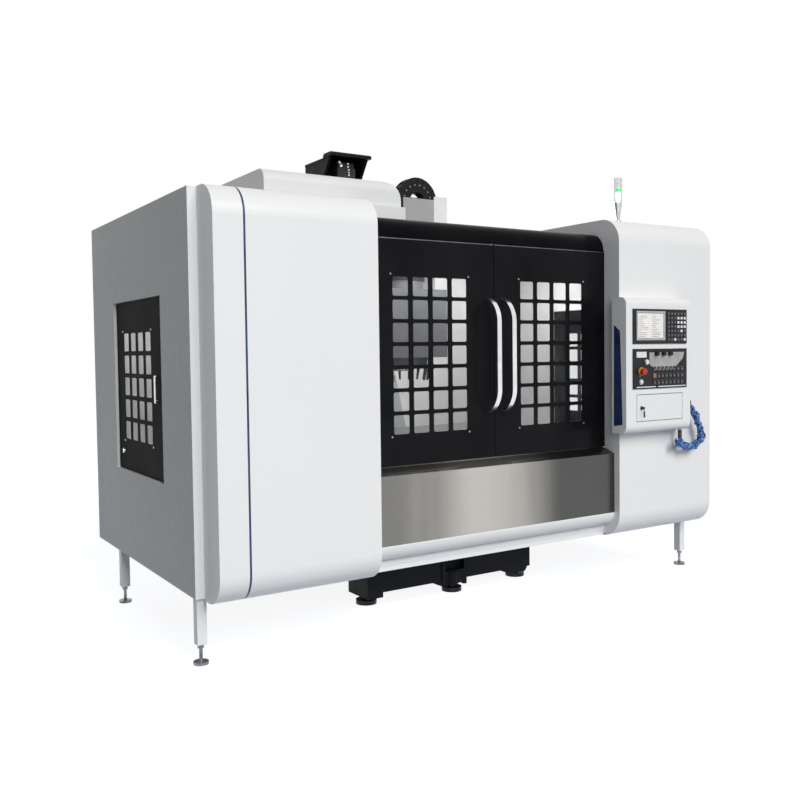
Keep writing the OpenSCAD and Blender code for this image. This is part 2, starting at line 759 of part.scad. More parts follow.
// Head and spindle
module headstock() color("#c9cdcf") {
  difference() {
    union() {
      box(-390, 390, head_rear - 70, head_rear, head_bottom_z - 20, head_top_z + 140);
      box(-230, 230, spindle_y - 190, head_rear - 69, head_bottom_z, head_top_z - 60);
      rod_z(0, spindle_y, head_bottom_z - 60, head_bottom_z + 1, 150);
      for (s = [-1, 1]) along_x(s * 215 - 15, s * 215 + 15) polygon([[spindle_y + 60, head_top_z - 61],
        [head_rear - 65, head_top_z - 61], [head_rear - 65, head_top_z + 130]]);
      rod_z(0, spindle_y, head_top_z - 61, head_top_z, 140);
    }
    rod_z(0, spindle_y, head_bottom_z - 61, head_top_z - 100, spindle_bore());
    rod_z(0, spindle_y, head_top_z - 101, head_top_z + 1, 60);
    box(-185, 185, spindle_y + 200, head_rear - 110, head_bottom_z + 45, head_top_z + 141);
  }
  for (s = [-1, 1], z = [head_bottom_z + 120, head_top_z - 20]) difference() {
    box(s * z_rail_x - 70, s * z_rail_x + 70, head_rear, column_front - 8, z - 110, z + 110);
    box(s * z_rail_x - rail_width / 2 - slide_gap, s * z_rail_x + rail_width / 2 + slide_gap,
      column_front - rail_height - slide_gap, column_front, z - 111, z + 111);
  }
  // nut of the vertical screw
  difference() {
    box(-90, 90, head_rear - 1, z_screw_y + 50, head_bottom_z + 200, head_bottom_z + 340);
    rod_z(0, z_screw_y, head_bottom_z + 199, head_bottom_z + 341, screw_radius + turn_gap);
  }
  // arm that carries the moving end of the cable chain
  box(385, guard_x0 - 3, head_rear - 60, head_rear - 30, head_arm_top() - 140, head_arm_top());
  box(440, guard_x0 - 3, head_rear - 31, column_front - 4, head_arm_top() - 16, head_arm_top());
  box(guard_x0 - 4, guard_x0 + 67, column_front - 90, column_front - 4, head_arm_top() - 16, head_arm_top());
}

function spindle_bore() = 70 + turn_gap;

module spindle_motor() color("#2a2e33") translate([0, spindle_y, head_top_z]) {
  difference() {
    union() {
      cylinder(h = 24, r = 150);
      translate([0, 0, 23]) cylinder(h = 240, r = 128);
      translate([0, 0, 262]) cylinder(h = 76, r = 116);
    }
    translate([0, 0, -1]) cylinder(h = 60, r = 60);
    for (a = [0:30:330]) rotate(a) translate([132, -8, 40]) cube([20, 16, 200]);
  }
  translate([100, -60, 150]) cube([70, 120, 90]);
}

module spindle() color("#b7bcc0") translate([0, spindle_y, nose_z]) difference() {
  union() {
    cylinder(h = 40, r = 64);
    translate([0, 0, 20]) cylinder(h = 400, r = 70);
  }
  translate([0, 0, -1]) cylinder(h = 102, r1 = 35, r2 = 20);
  translate([0, 0, 100]) cylinder(h = 321, r = 14);
  for (s = [-1, 1]) translate([s * 52 - 13, -13, -1]) cube([26, 26, 13]);
}

module coolant_nozzles() color("#0f1114") {
  for (a = [-66, -44, -22, 0, 22, 44, 66]) translate([0, spindle_y, head_bottom_z]) rotate(a) {
    translate([178, 0, -18]) cylinder(h = 18, r = 15);
    translate([178, 0, -84]) cylinder(h = 67, r = 10);
    translate([178, 0, -84]) sphere(r = 12);
    translate([178, 0, -84]) rotate([0, 194, 0]) cylinder(h = 70, r1 = 10, r2 = 7);
  }
}

// Tool changer
module magazine_frame() color("#3a4046") {
  difference() {
    union() {
      box(-520, -column_half, spindle_y - 130, column_front + 50, disc_z - 200, disc_z + 60);
      box(-700, -519, disc_y - 70, disc_y + 70, disc_z - 90, disc_z + 60);
      box(-490, -285, spindle_y - 110, spindle_y + 140, nose_z + 40, disc_z - 340);
      box(-490, -column_half, spindle_y - 110, spindle_y + 140, disc_z - 341, disc_z - 190);
      rod_x(-720, -699, disc_y, disc_z, 110);
      rod_x(-800, -719, disc_y, disc_z, 30);
    }
    rod_z(arm_x, spindle_y, nose_z + 39, disc_z - 339, arm_shaft_r + turn_gap);
  }
}

module tool_disc() color("#7d858c") difference() {
  union() {
    rod_x(disc_x - 16, disc_x + 16, disc_y, disc_z, disc_radius - 60);
    for (i = [0:tool_count - 1]) translate([0, disc_y, disc_z]) rotate([i * 360 / tool_count, 0, 0]) {
      rod_x(disc_x - 90, disc_x + 20, 0, -disc_radius, pot_radius);
      box(disc_x - 12, disc_x + 12, -22, 22, -disc_radius, -disc_radius + 70);
    }
  }
  rod_x(disc_x - 17, disc_x + 17, disc_y, disc_z, 30 + turn_gap);
  for (i = [0:tool_count - 1]) translate([0, disc_y, disc_z]) rotate([i * 360 / tool_count, 0, 0])
    rod_x(disc_x - 91, disc_x - 30, 0, -disc_radius, 26);
  for (i = [0:5]) translate([0, disc_y, disc_z]) rotate([i * 60, 0, 0])
    rod_x(disc_x - 17, disc_x + 17, 0, disc_radius * 0.5, 70);
}

module arm_shaft() color("#aab0b6") {
  rod_z(arm_x, spindle_y, arm_top + 1, disc_z - 350, arm_shaft_r);
  rod_z(arm_x, spindle_y, arm_bottom - 14, arm_top + 2, 24);
  rod_z(arm_x, spindle_y, arm_bottom - 30, arm_bottom - 1, 44);
}

module tool_arm() color("#8a9198") difference() {
  union() {
    rod_z(arm_x, spindle_y, arm_bottom, arm_top, 70);
    box(arm_x - 36, arm_x + 36, spindle_y - arm_reach + 20, spindle_y + arm_reach - 20, arm_bottom, arm_top);
    for (s = [-1, 1]) rod_z(arm_x, spindle_y + s * arm_reach, arm_bottom, arm_top, 58);
  }
  rod_z(arm_x, spindle_y, arm_bottom - 1, arm_top + 1, 24 + turn_gap);
  // open gripper mouths, one on each side
  for (s = [-1, 1]) translate([arm_x, spindle_y + s * arm_reach, arm_bottom - 1]) {
    cylinder(h = 42, r = 36);
    translate([s > 0 ? -70 : 0, -28, 0]) cube([70, 56, 42]);
  }
}

// Front doors, drawn for the right and turned over for the left
module door_panel(x1) {
  x0 = meet_gap / 2;
  difference() {
    union() {
      box(x0, x1, door_y0, door_y1, door_bottom, door_top);
      box(x0 + 20, x1 - 20, track_y - 5 + slide_gap, track_y + 5 - slide_gap, door_top - 1, head_bottom + 13);
      box(x0 + 20, x1 - 20, track_y - 11 + slide_gap, track_y + 11 - slide_gap,
        head_bottom + 12 + slide_gap, head_bottom + 26);
    }
    box(x0 + 60, x1 - 60, door_y0 + door_skin, door_y1 + 1, door_bottom + 60, door_top - 60);
    along_y(door_y0 - 1, door_y0 + door_skin + 1)
      window_cells(window_offset, window_bottom, door_cols, door_rows, col_pitch, row_pitch, front_cell);
    box(x0 - 1, x1 + 1, track_y - 5, track_y + 5, door_bottom - 1, sill_top + 13);
  }
}

module door_pane() {
  w = (door_cols - 1) * col_pitch + front_cell;
  h = (door_rows - 1) * row_pitch + cell_height;
  box(window_offset - 24, window_offset + w + 24, door_y0 + door_skin, door_y0 + door_skin + 6,
    window_bottom - 24, window_bottom + h + 24);
}

// flat bar, straight in the middle and bent back to the door at both ends
module door_bow() {
  half_span = 338;
  bend_run = 145;
  turn = 2 * atan(handle_bow / bend_run);
  r = bend_run / sin(turn);
  bar = 14;
  z = window_bottom + 422;
  front = door_y0 - handle_bow;
  along_x(55 - 15, 55 + 15) {
    translate([front, z - half_span + bend_run]) square([bar, 2 * (half_span - bend_run)]);
    for (s = [-1, 1]) intersection() {
      translate([front + r, z + s * (half_span - bend_run)]) difference() {
        circle(r, $fn = 160);
        circle(r - bar, $fn = 160);
      }
      translate([front - 1, z + s * (half_span - bend_run) - (s < 0 ? r : 0)]) square([handle_bow + 1, r]);
    }
  }
}

module left_door() color("#0b0c0f") mirror([1, 0, 0]) door_panel(-cowl_x1 + door_lap);
module left_door_glass() color("#b9c6cc") mirror([1, 0, 0]) door_pane();
module left_handle() color("#d7dadd") mirror([1, 0, 0]) door_bow();
module right_door() color("#0b0c0f") door_panel(cab_x0 + door_lap);
module right_door_glass() color("#b9c6cc") door_pane();
module right_handle() color("#d7dadd") door_bow();

// Side doors, drawn for the left and turned over for the right
module side_leaf() {
  x0 = -half + recess;
  x1 = x0 + side_door_thick;
  y0 = side_front + 5;
  difference() {
    box(x0, x1, y0, side_leaf_rear, side_bottom + 3, side_top - 3);
    box(x0 + door_skin, x1 + 1, y0 + 40, side_leaf_rear - 40, side_bottom + 43, side_top - 43);
    translate([x0 - 1, 0, 0]) rotate([90, 0, 90]) linear_extrude(door_skin + 2)
      window_cells(side_cell_y, side_cell_z, 4, 5, side_col_pitch, side_row_pitch, cell_width);
    for (z = [side_bottom + 2, side_top - side_pin_run - slide_gap])
      rod_z(-side_hinge_x, side_hinge_y, z, z + side_pin_run - 2 + slide_gap, side_pin_r + turn_gap);
  }
  // pull handle near the front edge
  z = side_bottom + 496;
  y = side_front + 100;
  box(x0 - 22, x0 - 15, y - 9, y + 9, z - 72, z + 72);
  for (s = [-1, 1]) box(x0 - 16, x0 + 1, y - 9, y + 9, z + s * 64 - 8, z + s * 64 + 8);
  rod_x(x0 - 6, x0 + 1, side_rear - 110, side_bottom + 110, 14);
}

module side_pane() {
  x = -half + recess + door_skin;
  w = 3 * side_col_pitch + cell_width;
  h = 4 * side_row_pitch + cell_height;
  box(x, x + 6, side_cell_y - 20, side_cell_y + w + 20, side_cell_z - 20, side_cell_z + h + 20);
}

module left_side_door() color("#0b0c0f") side_leaf();
module left_side_glass() color("#b9c6cc") side_pane();
module right_side_door() color("#0b0c0f") mirror([1, 0, 0]) side_leaf();
module right_side_glass() color("#b9c6cc") mirror([1, 0, 0]) side_pane();

// Control box on the cabinet's front
module pendant_outline(inset) {
  front_outline(pendant_y0 + inset, pendant_y1 + (inset > 0 ? 1 : 0), pendant_bottom + inset, pendant_top - inset, 45 - inset);
}

module pendant_housing() color("#e4e6e6") {
  difference() {
    along_x(pendant_x0, pendant_x1) pendant_outline(0);
    along_x(pendant_x0 + 4, pendant_x1 - 4) pendant_outline(4);
    box(unit_x0 + 14, unit_x1 - 14, pendant_y0 - 1, pendant_y0 + 5, display_z0 + 14, display_z1 - 14);
    box(unit_x0 + 14, unit_x1 - 14, pendant_y0 - 1, pendant_y0 + 5, operator_z0 + 14, operator_z1 - 14);
    box(locker_x0 - 4, locker_x1 + 4, pendant_y0 - 1, pendant_y0 + 5, locker_z0 - 4, locker_z1 + 4);
  }
  // back of the small locker behind its door
  difference() {
    box(locker_x0 - 8, locker_x1 + 8, pendant_y0 + 3, pendant_y0 + 84, locker_z0 - 8, locker_z1 + 8);
    box(locker_x0 - 4, locker_x1 + 4, pendant_y0 + 2, pendant_y0 + 80, locker_z0 - 4, locker_z1 + 4);
  }
  // collar that the control hose comes out of
  translate(hose_path[0]) cylinder(h = pendant_bottom - hose_path[0][2] + 2, r = gland_radius);
}

module display_unit() color("#111317") {
  difference() {
    union() {
      box(unit_x0, unit_x1, face_y, pendant_y0, display_z0, display_z1);
      box(unit_x0 + 15, unit_x1 - 15, pendant_y0 - 1, pendant_y0 + 60, display_z0 + 15, display_z1 - 15);
    }
    box(unit_x0 + 38, unit_x0 + 281, face_y - 1, face_y + 3, display_z0 + 30, display_z1 - 21);
  }
  // rows of keys beside the screen
  for (i = [0:5], j = [0:6])
    box(unit_x0 + 308 + i * 30, unit_x0 + 331 + i * 30, face_y - 2, face_y + 1,
      display_z0 + 16 + j * 27, display_z0 + 36 + j * 27);
}

module operator_unit() color("#16181c") {
  difference() {
    union() {
      box(unit_x0, unit_x1, face_y, pendant_y0, operator_z0, operator_z1);
      box(unit_x0 + 15, unit_x1 - 15, pendant_y0 - 1, pendant_y0 + 4, operator_z0 + 15, operator_z1 - 15);
    }
    rod_y(estop[0], face_y - 1, pendant_y0 + 5, estop[1], 11 + turn_gap);
    for (x = knob_x) rod_y(x, face_y - 1, pendant_y0 + 5, knob_z, 4 + turn_gap);
    for (p = [start_at, stop_at]) rod_y(p[0], face_y - 1, pendant_y0 + 5, p[1], 7 + turn_gap);
  }
  for (i = [0:7], j = [0:2])
    box(unit_x0 + 178 + i * 36, unit_x0 + 204 + i * 36, face_y - 2, face_y + 1,
      operator_z0 + 24 + j * 42, operator_z0 + 52 + j * 42);
}

module locker_door() color("#e4e6e6") {
  box(locker_x0, locker_x1, pendant_y0, pendant_y0 + 4, locker_z0, locker_z1);
  for (z = [locker_z0 + 36, locker_z1 - 36]) {
    rod_z(locker_axis_x, locker_axis_y, z - 16, z + 16, 3);
    box(locker_x1 - 8, locker_axis_x, locker_axis_y, pendant_y0, z - 16, z + 16);
  }
  // lock barrel with its key
  rod_y(locker_x0 + 40, pendant_y0 - 8, pendant_y0 + 1, (locker_z0 + locker_z1) / 2, 10);
  box(locker_x0 + 38, locker_x0 + 42, pendant_y0 - 26, pendant_y0 - 7, (locker_z0 + locker_z1) / 2 - 8,
    (locker_z0 + locker_z1) / 2 + 8);
}

module emergency_stop() color("#c21f1f") {
  rod_y(estop[0], front_most, front_most + 14, estop[1], 20);
  translate([estop[0], front_most + 13, estop[1]]) rotate([-90, 0, 0]) cylinder(h = 8, r1 = 20, r2 = 11);
  rod_y(estop[0], front_most + 20, pendant_y0 + 8, estop[1], 11);
}

module knob(x) {
  rod_y(x, face_y - 20, face_y - 1, knob_z, 14);
  rod_y(x, face_y - 2, pendant_y0 + 10, knob_z, 4);
  box(x - 2, x + 2, face_y - 22, face_y - 19, knob_z, knob_z + 13);
}

module mode_knob() color("#0d0e10") knob(knob_x[0]);
module feed_knob() color("#0d0e10") knob(knob_x[1]);
module speed_knob() color("#0d0e10") knob(knob_x[2]);

module push_button(p) {
  rod_y(p[0], face_y - 12, face_y - 5, p[1], 13);
  rod_y(p[0], face_y - 6, pendant_y0 + 8, p[1], 7);
}

module start_button() color("#e8ebe6") push_button(start_at);
module stop_button() color("#e8ebe6") push_button(stop_at);

// Control hose: a tube swept along its route, whose runs all lie in one X-Z plane
function hose_way(i) = let (last = len(hose_path) - 1, a = hose_path[max(i - 1, 0)], b = hose_path[min(i + 1, last)])
  (b - a) / norm(b - a);
function hose_ring(i) = let (way = hose_way(i)) [for (k = [0:hose_sides - 1]) let (a = k * 360 / hose_sides)
  hose_path[i] + hose_radius * (cos(a) * [way[2], 0, -way[0]] + sin(a) * [0, 1, 0])];

module control_hose() color("#17181b") {
  n = hose_sides;
  last = len(hose_path) - 1;
  polyhedron(
    points = [for (i = [0:last], p = hose_ring(i)) p],
    faces = concat(
      [[for (k = [0:n - 1]) k]],
      [for (i = [0:last - 1], k = [0:n - 1])
        [i * n + k, (i + 1) * n + k, (i + 1) * n + (k + 1) % n, i * n + (k + 1) % n]],
      [[for (k = [n - 1:-1:0]) last * n + k]]));
}

// elbow on the cabinet that the hose runs up into
module hose_elbow() color("#1c1e22") {
  mouth = hose_path[len(hose_path) - 1];
  run = mouth - elbow_at;
  lean = atan2(run[0], -run[2]);
  rod_y(elbow_at[0], elbow_at[1], -cowl_depth, elbow_at[2], gland_radius);
  translate(elbow_at) sphere(r = gland_radius);
  translate(elbow_at) rotate([0, 180 - lean, 0]) cylinder(h = norm(run), r = gland_radius);
  translate([elbow_at[0], -cowl_depth - 14, elbow_at[2]]) rotate([-90, 0, 0]) cylinder(h = 14, r = 30, $fn = 6);
}

place() base_casting();
place() levelling_feet();
place() column();
place() guide_rails();
place() left_side_panel();
place() right_side_panel();
place() left_cowl();
place() right_cowl();
place() door_head();
place() apron();
place() front_skirt();
place() chip_pan();
place() roof_hood();
place() rear_panels();
place() roof_panels();
place() cowl_stripe();
place() enclosure_legs();
place() lamp_stem();
place() lamp_lens();
place() z_motor_seat();
place() axis_motors();
place() cable_chain();
place() chain_guard();
place() electrical_cabinet();
place() hose_elbow();
place() control_hose();
place() magazine_frame();
place() saddle();
place() x_motor();
place() table();
place() headstock();
place() spindle_motor();
place() coolant_nozzles();
place() spindle();
place() x_screw();
place() y_screw();
place() z_screw();
place() left_door();
place() left_door_glass();
place() left_handle();
place() right_door();
place() right_door_glass();
place() right_handle();
place() left_side_door();
place() left_side_glass();
place() right_side_door();
place() right_side_glass();
place() tool_disc();
place() arm_shaft();
place() tool_arm();
place() pendant_housing();
place() display_unit();
place() operator_unit();
place() locker_door();
place() emergency_stop();
place() mode_knob();
place() feed_knob();
place() speed_knob();
place() start_button();
place() stop_button();
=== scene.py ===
import math
import random
import bmesh
import bpy
from mathutils import Matrix, Vector, noise


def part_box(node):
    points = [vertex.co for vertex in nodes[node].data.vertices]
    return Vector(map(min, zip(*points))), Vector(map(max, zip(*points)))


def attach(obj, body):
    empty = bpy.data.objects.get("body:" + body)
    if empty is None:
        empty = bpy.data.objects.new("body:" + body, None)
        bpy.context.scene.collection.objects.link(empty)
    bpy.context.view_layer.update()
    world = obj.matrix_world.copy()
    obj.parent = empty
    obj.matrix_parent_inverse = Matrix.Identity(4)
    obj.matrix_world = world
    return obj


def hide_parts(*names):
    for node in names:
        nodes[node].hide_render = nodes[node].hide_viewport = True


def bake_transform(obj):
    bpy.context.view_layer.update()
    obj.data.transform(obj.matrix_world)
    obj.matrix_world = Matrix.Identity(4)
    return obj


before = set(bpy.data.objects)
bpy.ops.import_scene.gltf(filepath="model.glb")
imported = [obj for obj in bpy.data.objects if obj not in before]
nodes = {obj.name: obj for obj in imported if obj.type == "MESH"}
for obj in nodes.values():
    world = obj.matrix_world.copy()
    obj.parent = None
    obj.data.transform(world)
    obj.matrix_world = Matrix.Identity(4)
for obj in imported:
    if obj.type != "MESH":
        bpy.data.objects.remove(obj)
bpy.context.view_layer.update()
scene = bpy.context.scene
scene.view_settings.view_transform = "Standard"

# Studio: a pale floor, one large soft lamp high in front of the machine, a weaker
# one behind it, work lamps inside, and an even sky that fills the shaded left side.
sky = bpy.data.worlds.new("studio_sky")
scene.world = sky
sky.use_nodes = True
sky_tree = sky.node_tree
sky_light = sky_tree.nodes["Background"]


def seen_level(tree, unseen, seen):
    ray = tree.nodes.new("ShaderNodeLightPath")
    total = ray.outputs["Is Camera Ray"]
    for kind in ("Is Transmission Ray", "Is Glossy Ray"):
        added = tree.nodes.new("ShaderNodeMath")
        added.operation = "ADD"
        tree.links.new(total, added.inputs[0])
        tree.links.new(ray.outputs[kind], added.inputs[1])
        total = added.outputs[0]
    level = tree.nodes.new("ShaderNodeMapRange")
    level.inputs["To Min"].default_value = unseen
    level.inputs["To Max"].default_value = seen
    tree.links.new(total, level.inputs["Value"])
    return level.outputs[0]


sky_light.inputs["Color"].default_value = (1, 1, 1, 1)
sky_tree.links.new(seen_level(sky_tree, 0.15, 1.0), sky_light.inputs["Strength"])

key_lamp = bpy.data.objects.new("key_lamp", bpy.data.lights.new("key_lamp", "SUN"))
scene.collection.objects.link(key_lamp)
key_lamp.data.energy = 2.34
key_lamp.data.angle = math.radians(35)
key_from = Vector((0.04, -0.78, 0.56)).normalized()
key_lamp.rotation_mode = "QUATERNION"
key_lamp.rotation_quaternion = key_from.to_track_quat("Z", "Y")


def soft_lamp(name, spot, target, size, power):
    lamp = bpy.data.objects.new(name, bpy.data.lights.new(name, "AREA"))
    scene.collection.objects.link(lamp)
    lamp.data.shape = "RECTANGLE"
    lamp.data.size, lamp.data.size_y = size
    lamp.data.energy = power
    lamp.location = spot
    lamp.rotation_mode = "QUATERNION"
    lamp.rotation_quaternion = (Vector(spot) - Vector(target)).to_track_quat("Z", "Y")


soft_lamp("fill_lamp", (-2.3, -6.4, 2.9), (0.8, -1.2, 1.4), (1.6, 1.6), 55)
soft_lamp("rear_lamp", (2.4, 6.8, 3.4), (0.2, 1.4, 1.4), (2.4, 2.4), 240)
soft_lamp("work_lamp_front", (0.0, -0.86, 2.10), (0.0, 0.3, 1.0), (2.4, 0.12), 12)
soft_lamp("work_lamp_left", (-1.25, 0.1, 2.28), (-1.0, 0.2, 0.6), (0.5, 0.5), 6)
soft_lamp("work_lamp_right", (1.35, 0.1, 2.28), (1.1, 0.2, 0.6), (0.5, 0.5), 7)

floor_mesh = bpy.data.meshes.new("floor")
floor_reach = 40
floor_corners = [(x * floor_reach, y * floor_reach, 0) for x, y in ((-1, -1), (1, -1), (1, 1), (-1, 1))]
floor_mesh.from_pydata(floor_corners, [], [(0, 1, 2, 3)])
floor = bpy.data.objects.new("floor", floor_mesh)
scene.collection.objects.link(floor)
floor_paint = bpy.data.materials.new("pale_floor")
floor_paint.use_nodes = True
floor_tree = floor_paint.node_tree
floor_tree.nodes.remove(floor_tree.nodes["Principled BSDF"])
floor_matt = floor_tree.nodes.new("ShaderNodeBsdfDiffuse")
floor_matt.inputs["Color"].default_value = (0.38, 0.42, 0.50, 1)
floor_lit = floor_tree.nodes.new("ShaderNodeEmission")
floor_lit.inputs["Color"].default_value = (1, 1, 1, 1)
floor_lit.inputs["Strength"].default_value = 1.8
floor_mix = floor_tree.nodes.new("ShaderNodeMixShader")
floor_tree.links.new(seen_level(floor_tree, 0.0, 0.5), floor_mix.inputs[0])
floor_tree.links.new(floor_matt.outputs[0], floor_mix.inputs[1])
floor_tree.links.new(floor_lit.outputs[0], floor_mix.inputs[2])
floor_tree.links.new(floor_mix.outputs[0], floor_tree.nodes["Material Output"].inputs["Surface"])
floor_mesh.materials.append(floor_paint)

# Camera: it stands at chest height in front of the left corner and looks across
# to the control box, with the picture's middle a little below the lens axis.
eye = Vector((-3.2717, -5.2116, 1.5374))
yaw = math.radians(32.743)
pitch = math.radians(2.39)
roll = math.radians(-0.721)
forward = Vector((math.sin(yaw), math.cos(yaw), 0))
ahead = forward * math.cos(pitch) - Vector((0, 0, math.sin(pitch)))
level = Vector((math.cos(yaw), -math.sin(yaw), 0))
upward = level.cross(ahead)
across = math.cos(roll) * level + math.sin(roll) * upward
upright = -math.sin(roll) * level + math.cos(roll) * upward
camera = bpy.data.objects.new("camera", bpy.data.cameras.new("camera"))
scene.collection.objects.link(camera)
camera_turn = Matrix((across, upright, -ahead)).transposed()
camera.matrix_world = Matrix.Translation(eye) @ camera_turn.to_4x4()
camera.data.sensor_width = 36
camera.data.lens = 40.01
camera.data.shift_y = -0.0154
scene.camera = camera


def coordinates(tree, stretch=(1, 1, 1)):
    place = tree.nodes.new("ShaderNodeTexCoord")
    scaled = tree.nodes.new("ShaderNodeMapping")
    scaled.inputs["Scale"].default_value = stretch
    tree.links.new(place.outputs["Object"], scaled.inputs["Vector"])
    return scaled.outputs["Vector"]


def cloud(tree, where, size, detail=4.0):
    pattern = tree.nodes.new("ShaderNodeTexNoise")
    pattern.inputs["Scale"].default_value = size
    pattern.inputs["Detail"].default_value = detail
    tree.links.new(where, pattern.inputs["Vector"])
    return pattern.outputs["Fac"]


def between(tree, value, low, high, start=0.3, stop=0.7):
    span = tree.nodes.new("ShaderNodeMapRange")
    span.inputs["From Min"].default_value = start
    span.inputs["From Max"].default_value = stop
    span.inputs["To Min"].default_value = low
    span.inputs["To Max"].default_value = high
    tree.links.new(value, span.inputs["Value"])
    return span.outputs["Result"]


def shades(tree, value, dark, light, start=0.3, stop=0.7):
    ramp = tree.nodes.new("ShaderNodeValToRGB")
    ramp.color_ramp.elements[0].position = start
    ramp.color_ramp.elements[0].color = (*dark, 1)
    ramp.color_ramp.elements[1].position = stop
    ramp.color_ramp.elements[1].color = (*light, 1)
    tree.links.new(value, ramp.inputs["Fac"])
    return ramp.outputs["Color"]


def relief(tree, height, strength, depth):
    bump = tree.nodes.new("ShaderNodeBump")
    bump.inputs["Strength"].default_value = strength
    bump.inputs["Distance"].default_value = depth
    tree.links.new(height, bump.inputs["Height"])
    return bump.outputs["Normal"]


def fresh(name):
    material = bpy.data.materials.new(name)
    material.use_nodes = True
    tree = material.node_tree
    return material, tree, tree.nodes["Principled BSDF"]


def finish(name, dark, light, gloss, patch=2.0, grain=600.0, relief_depth=0.0002, strength=0.2,
           metallic=0.0, specular=0.5):
    material, tree, shader = fresh(name)
    where = coordinates(tree)
    patches = cloud(tree, where, patch)
    fine = cloud(tree, where, grain, 2.0)
    tree.links.new(shades(tree, patches, dark, light), shader.inputs["Base Color"])
    tree.links.new(between(tree, patches, *gloss), shader.inputs["Roughness"])
    tree.links.new(relief(tree, fine, strength, relief_depth), shader.inputs["Normal"])
    shader.inputs["Metallic"].default_value = metallic
    shader.inputs["Specular IOR Level"].default_value = specular
    return material


# Paints a second base colour, with its own noise, on every face lying beyond a distance from the middle
# along one axis; below it gives the painted shade of the side panels' outer skins and the painted dark
# reflection on the outer feet.
def second_tone_and_painted_shade(material, axis, limit, dark, light):
    tree = material.node_tree
    shader = tree.nodes["Principled BSDF"]
    where = coordinates(tree)
    split = tree.nodes.new("ShaderNodeSeparateXYZ")
    tree.links.new(where, split.inputs[0])
    away = tree.nodes.new("ShaderNodeMath")
    away.operation = "ABSOLUTE"
    tree.links.new(split.outputs[axis], away.inputs[0])
    side = tree.nodes.new("ShaderNodeMath")
    side.operation = "GREATER_THAN"
    side.inputs[1].default_value = limit
    tree.links.new(away.outputs[0], side.inputs[0])
    mix = tree.nodes.new("ShaderNodeMix")
    mix.data_type = "RGBA"
    tree.links.new(side.outputs[0], mix.inputs["Factor"])
    tree.links.new(shader.inputs["Base Color"].links[0].from_socket, mix.inputs[6])
    tree.links.new(shades(tree, cloud(tree, where, 20.0), dark, light), mix.inputs[7])
    tree.links.new(mix.outputs[2], shader.inputs["Base Color"])


def dress(material, *names):
    for name in names:
        mesh = nodes[name].data
        mesh.materials.clear()
        mesh.materials.append(material)


base_black = finish("base_enamel", (0.003, 0.004, 0.006), (0.008, 0.010, 0.014), (0.42, 0.62), patch=5.0,
                    grain=160.0, relief_depth=0.0012, strength=0.35, specular=0.12)
dress(base_black, "base_casting")

# Levelling feet and legs: turned zinc pads and jack screws under square tube legs
# that are painted with the enclosure.
foot_zinc_dark_reflection = finish("foot_zinc_dark_reflection", (0.012, 0.012, 0.014), (0.03, 0.03, 0.034), (0.25, 0.4), patch=22.0,
                   grain=320.0, metallic=0.9)
# painted reflection: the outer feet get a dark grey in place of bright zinc, standing for the dark
# surroundings they reflect
second_tone_and_painted_shade(foot_zinc_dark_reflection, "X", 1.2, (0.10, 0.10, 0.11), (0.34, 0.35, 0.36))
dress(foot_zinc_dark_reflection, "levelling_feet")
white_coat = finish("white_powder_coat", (0.802, 0.804, 0.794), (0.818, 0.820, 0.810), (0.30, 0.33),
                    patch=0.9, grain=420.0, relief_depth=0.0002, strength=0.08)
dress(white_coat, "enclosure_legs")

# Column, ways and ball screws: grey castings that carry ground steel rails, with
# black servo motors bolted to their ends.
casting_grey = finish("casting_grey", (0.42, 0.45, 0.46), (0.50, 0.53, 0.54), (0.4, 0.55), patch=4.0,
                      grain=200.0, relief_depth=0.0008, strength=0.3)
dress(casting_grey, "column")
ground_steel = finish("ground_steel", (0.50, 0.52, 0.54), (0.60, 0.62, 0.64), (0.22, 0.30), patch=5.0,
                      grain=500.0, metallic=1.0)
dress(ground_steel, "guide_rails", "x_screw", "y_screw", "z_screw")
motor_black = finish("motor_enamel", (0.014, 0.015, 0.018), (0.026, 0.028, 0.033), (0.35, 0.5),
                     patch=12.0, grain=380.0, specular=0.2)
dress(motor_black, "axis_motors", "x_motor")
seat_black = finish("seat_enamel", (0.003, 0.003, 0.005), (0.007, 0.008, 0.011), (0.35, 0.55), patch=7.0,
                    grain=240.0, relief_depth=0.0006, strength=0.25, specular=0.10)
dress(seat_black, "z_motor_seat")

# Saddle and table: blue-grey casting on rail blocks, with a scraped and oiled
# iron table whose slots run its whole length.
dress(finish("saddle_enamel", (0.20, 0.235, 0.255), (0.25, 0.285, 0.305), (0.35, 0.5), patch=4.0,
             grain=220.0, relief_depth=0.0008, strength=0.25), "saddle")
dress(finish("table_iron", (0.29, 0.30, 0.31), (0.36, 0.37, 0.38), (0.28, 0.42), patch=9.0, grain=300.0,
             metallic=0.9), "table")

# Head: grey casting with its spindle, drive motor and a fan of jointed coolant
# nozzles round the nose.
dress(finish("head_enamel", (0.11, 0.115, 0.12), (0.15, 0.155, 0.16), (0.35, 0.5), patch=4.0, grain=220.0,
             relief_depth=0.0006, strength=0.25), "headstock")
dress(motor_black, "spindle_motor")
dress(ground_steel, "spindle")
dress(finish("nozzle_plastic", (0.008, 0.008, 0.010), (0.018, 0.018, 0.022), (0.35, 0.5), patch=30.0,
             grain=700.0), "coolant_nozzles")

# Tool changer: a welded bracket with a disc of moulded pots, and a forged double
# arm on its splined shaft.
dress(finish("bracket_grey", (0.10, 0.11, 0.12), (0.16, 0.17, 0.18), (0.4, 0.55), patch=5.0, grain=240.0),
      "magazine_frame")
dress(finish("pot_plastic", (0.13, 0.15, 0.17), (0.19, 0.21, 0.23), (0.35, 0.5), patch=14.0, grain=500.0),
      "tool_disc")
dress(ground_steel, "arm_shaft", "tool_arm")
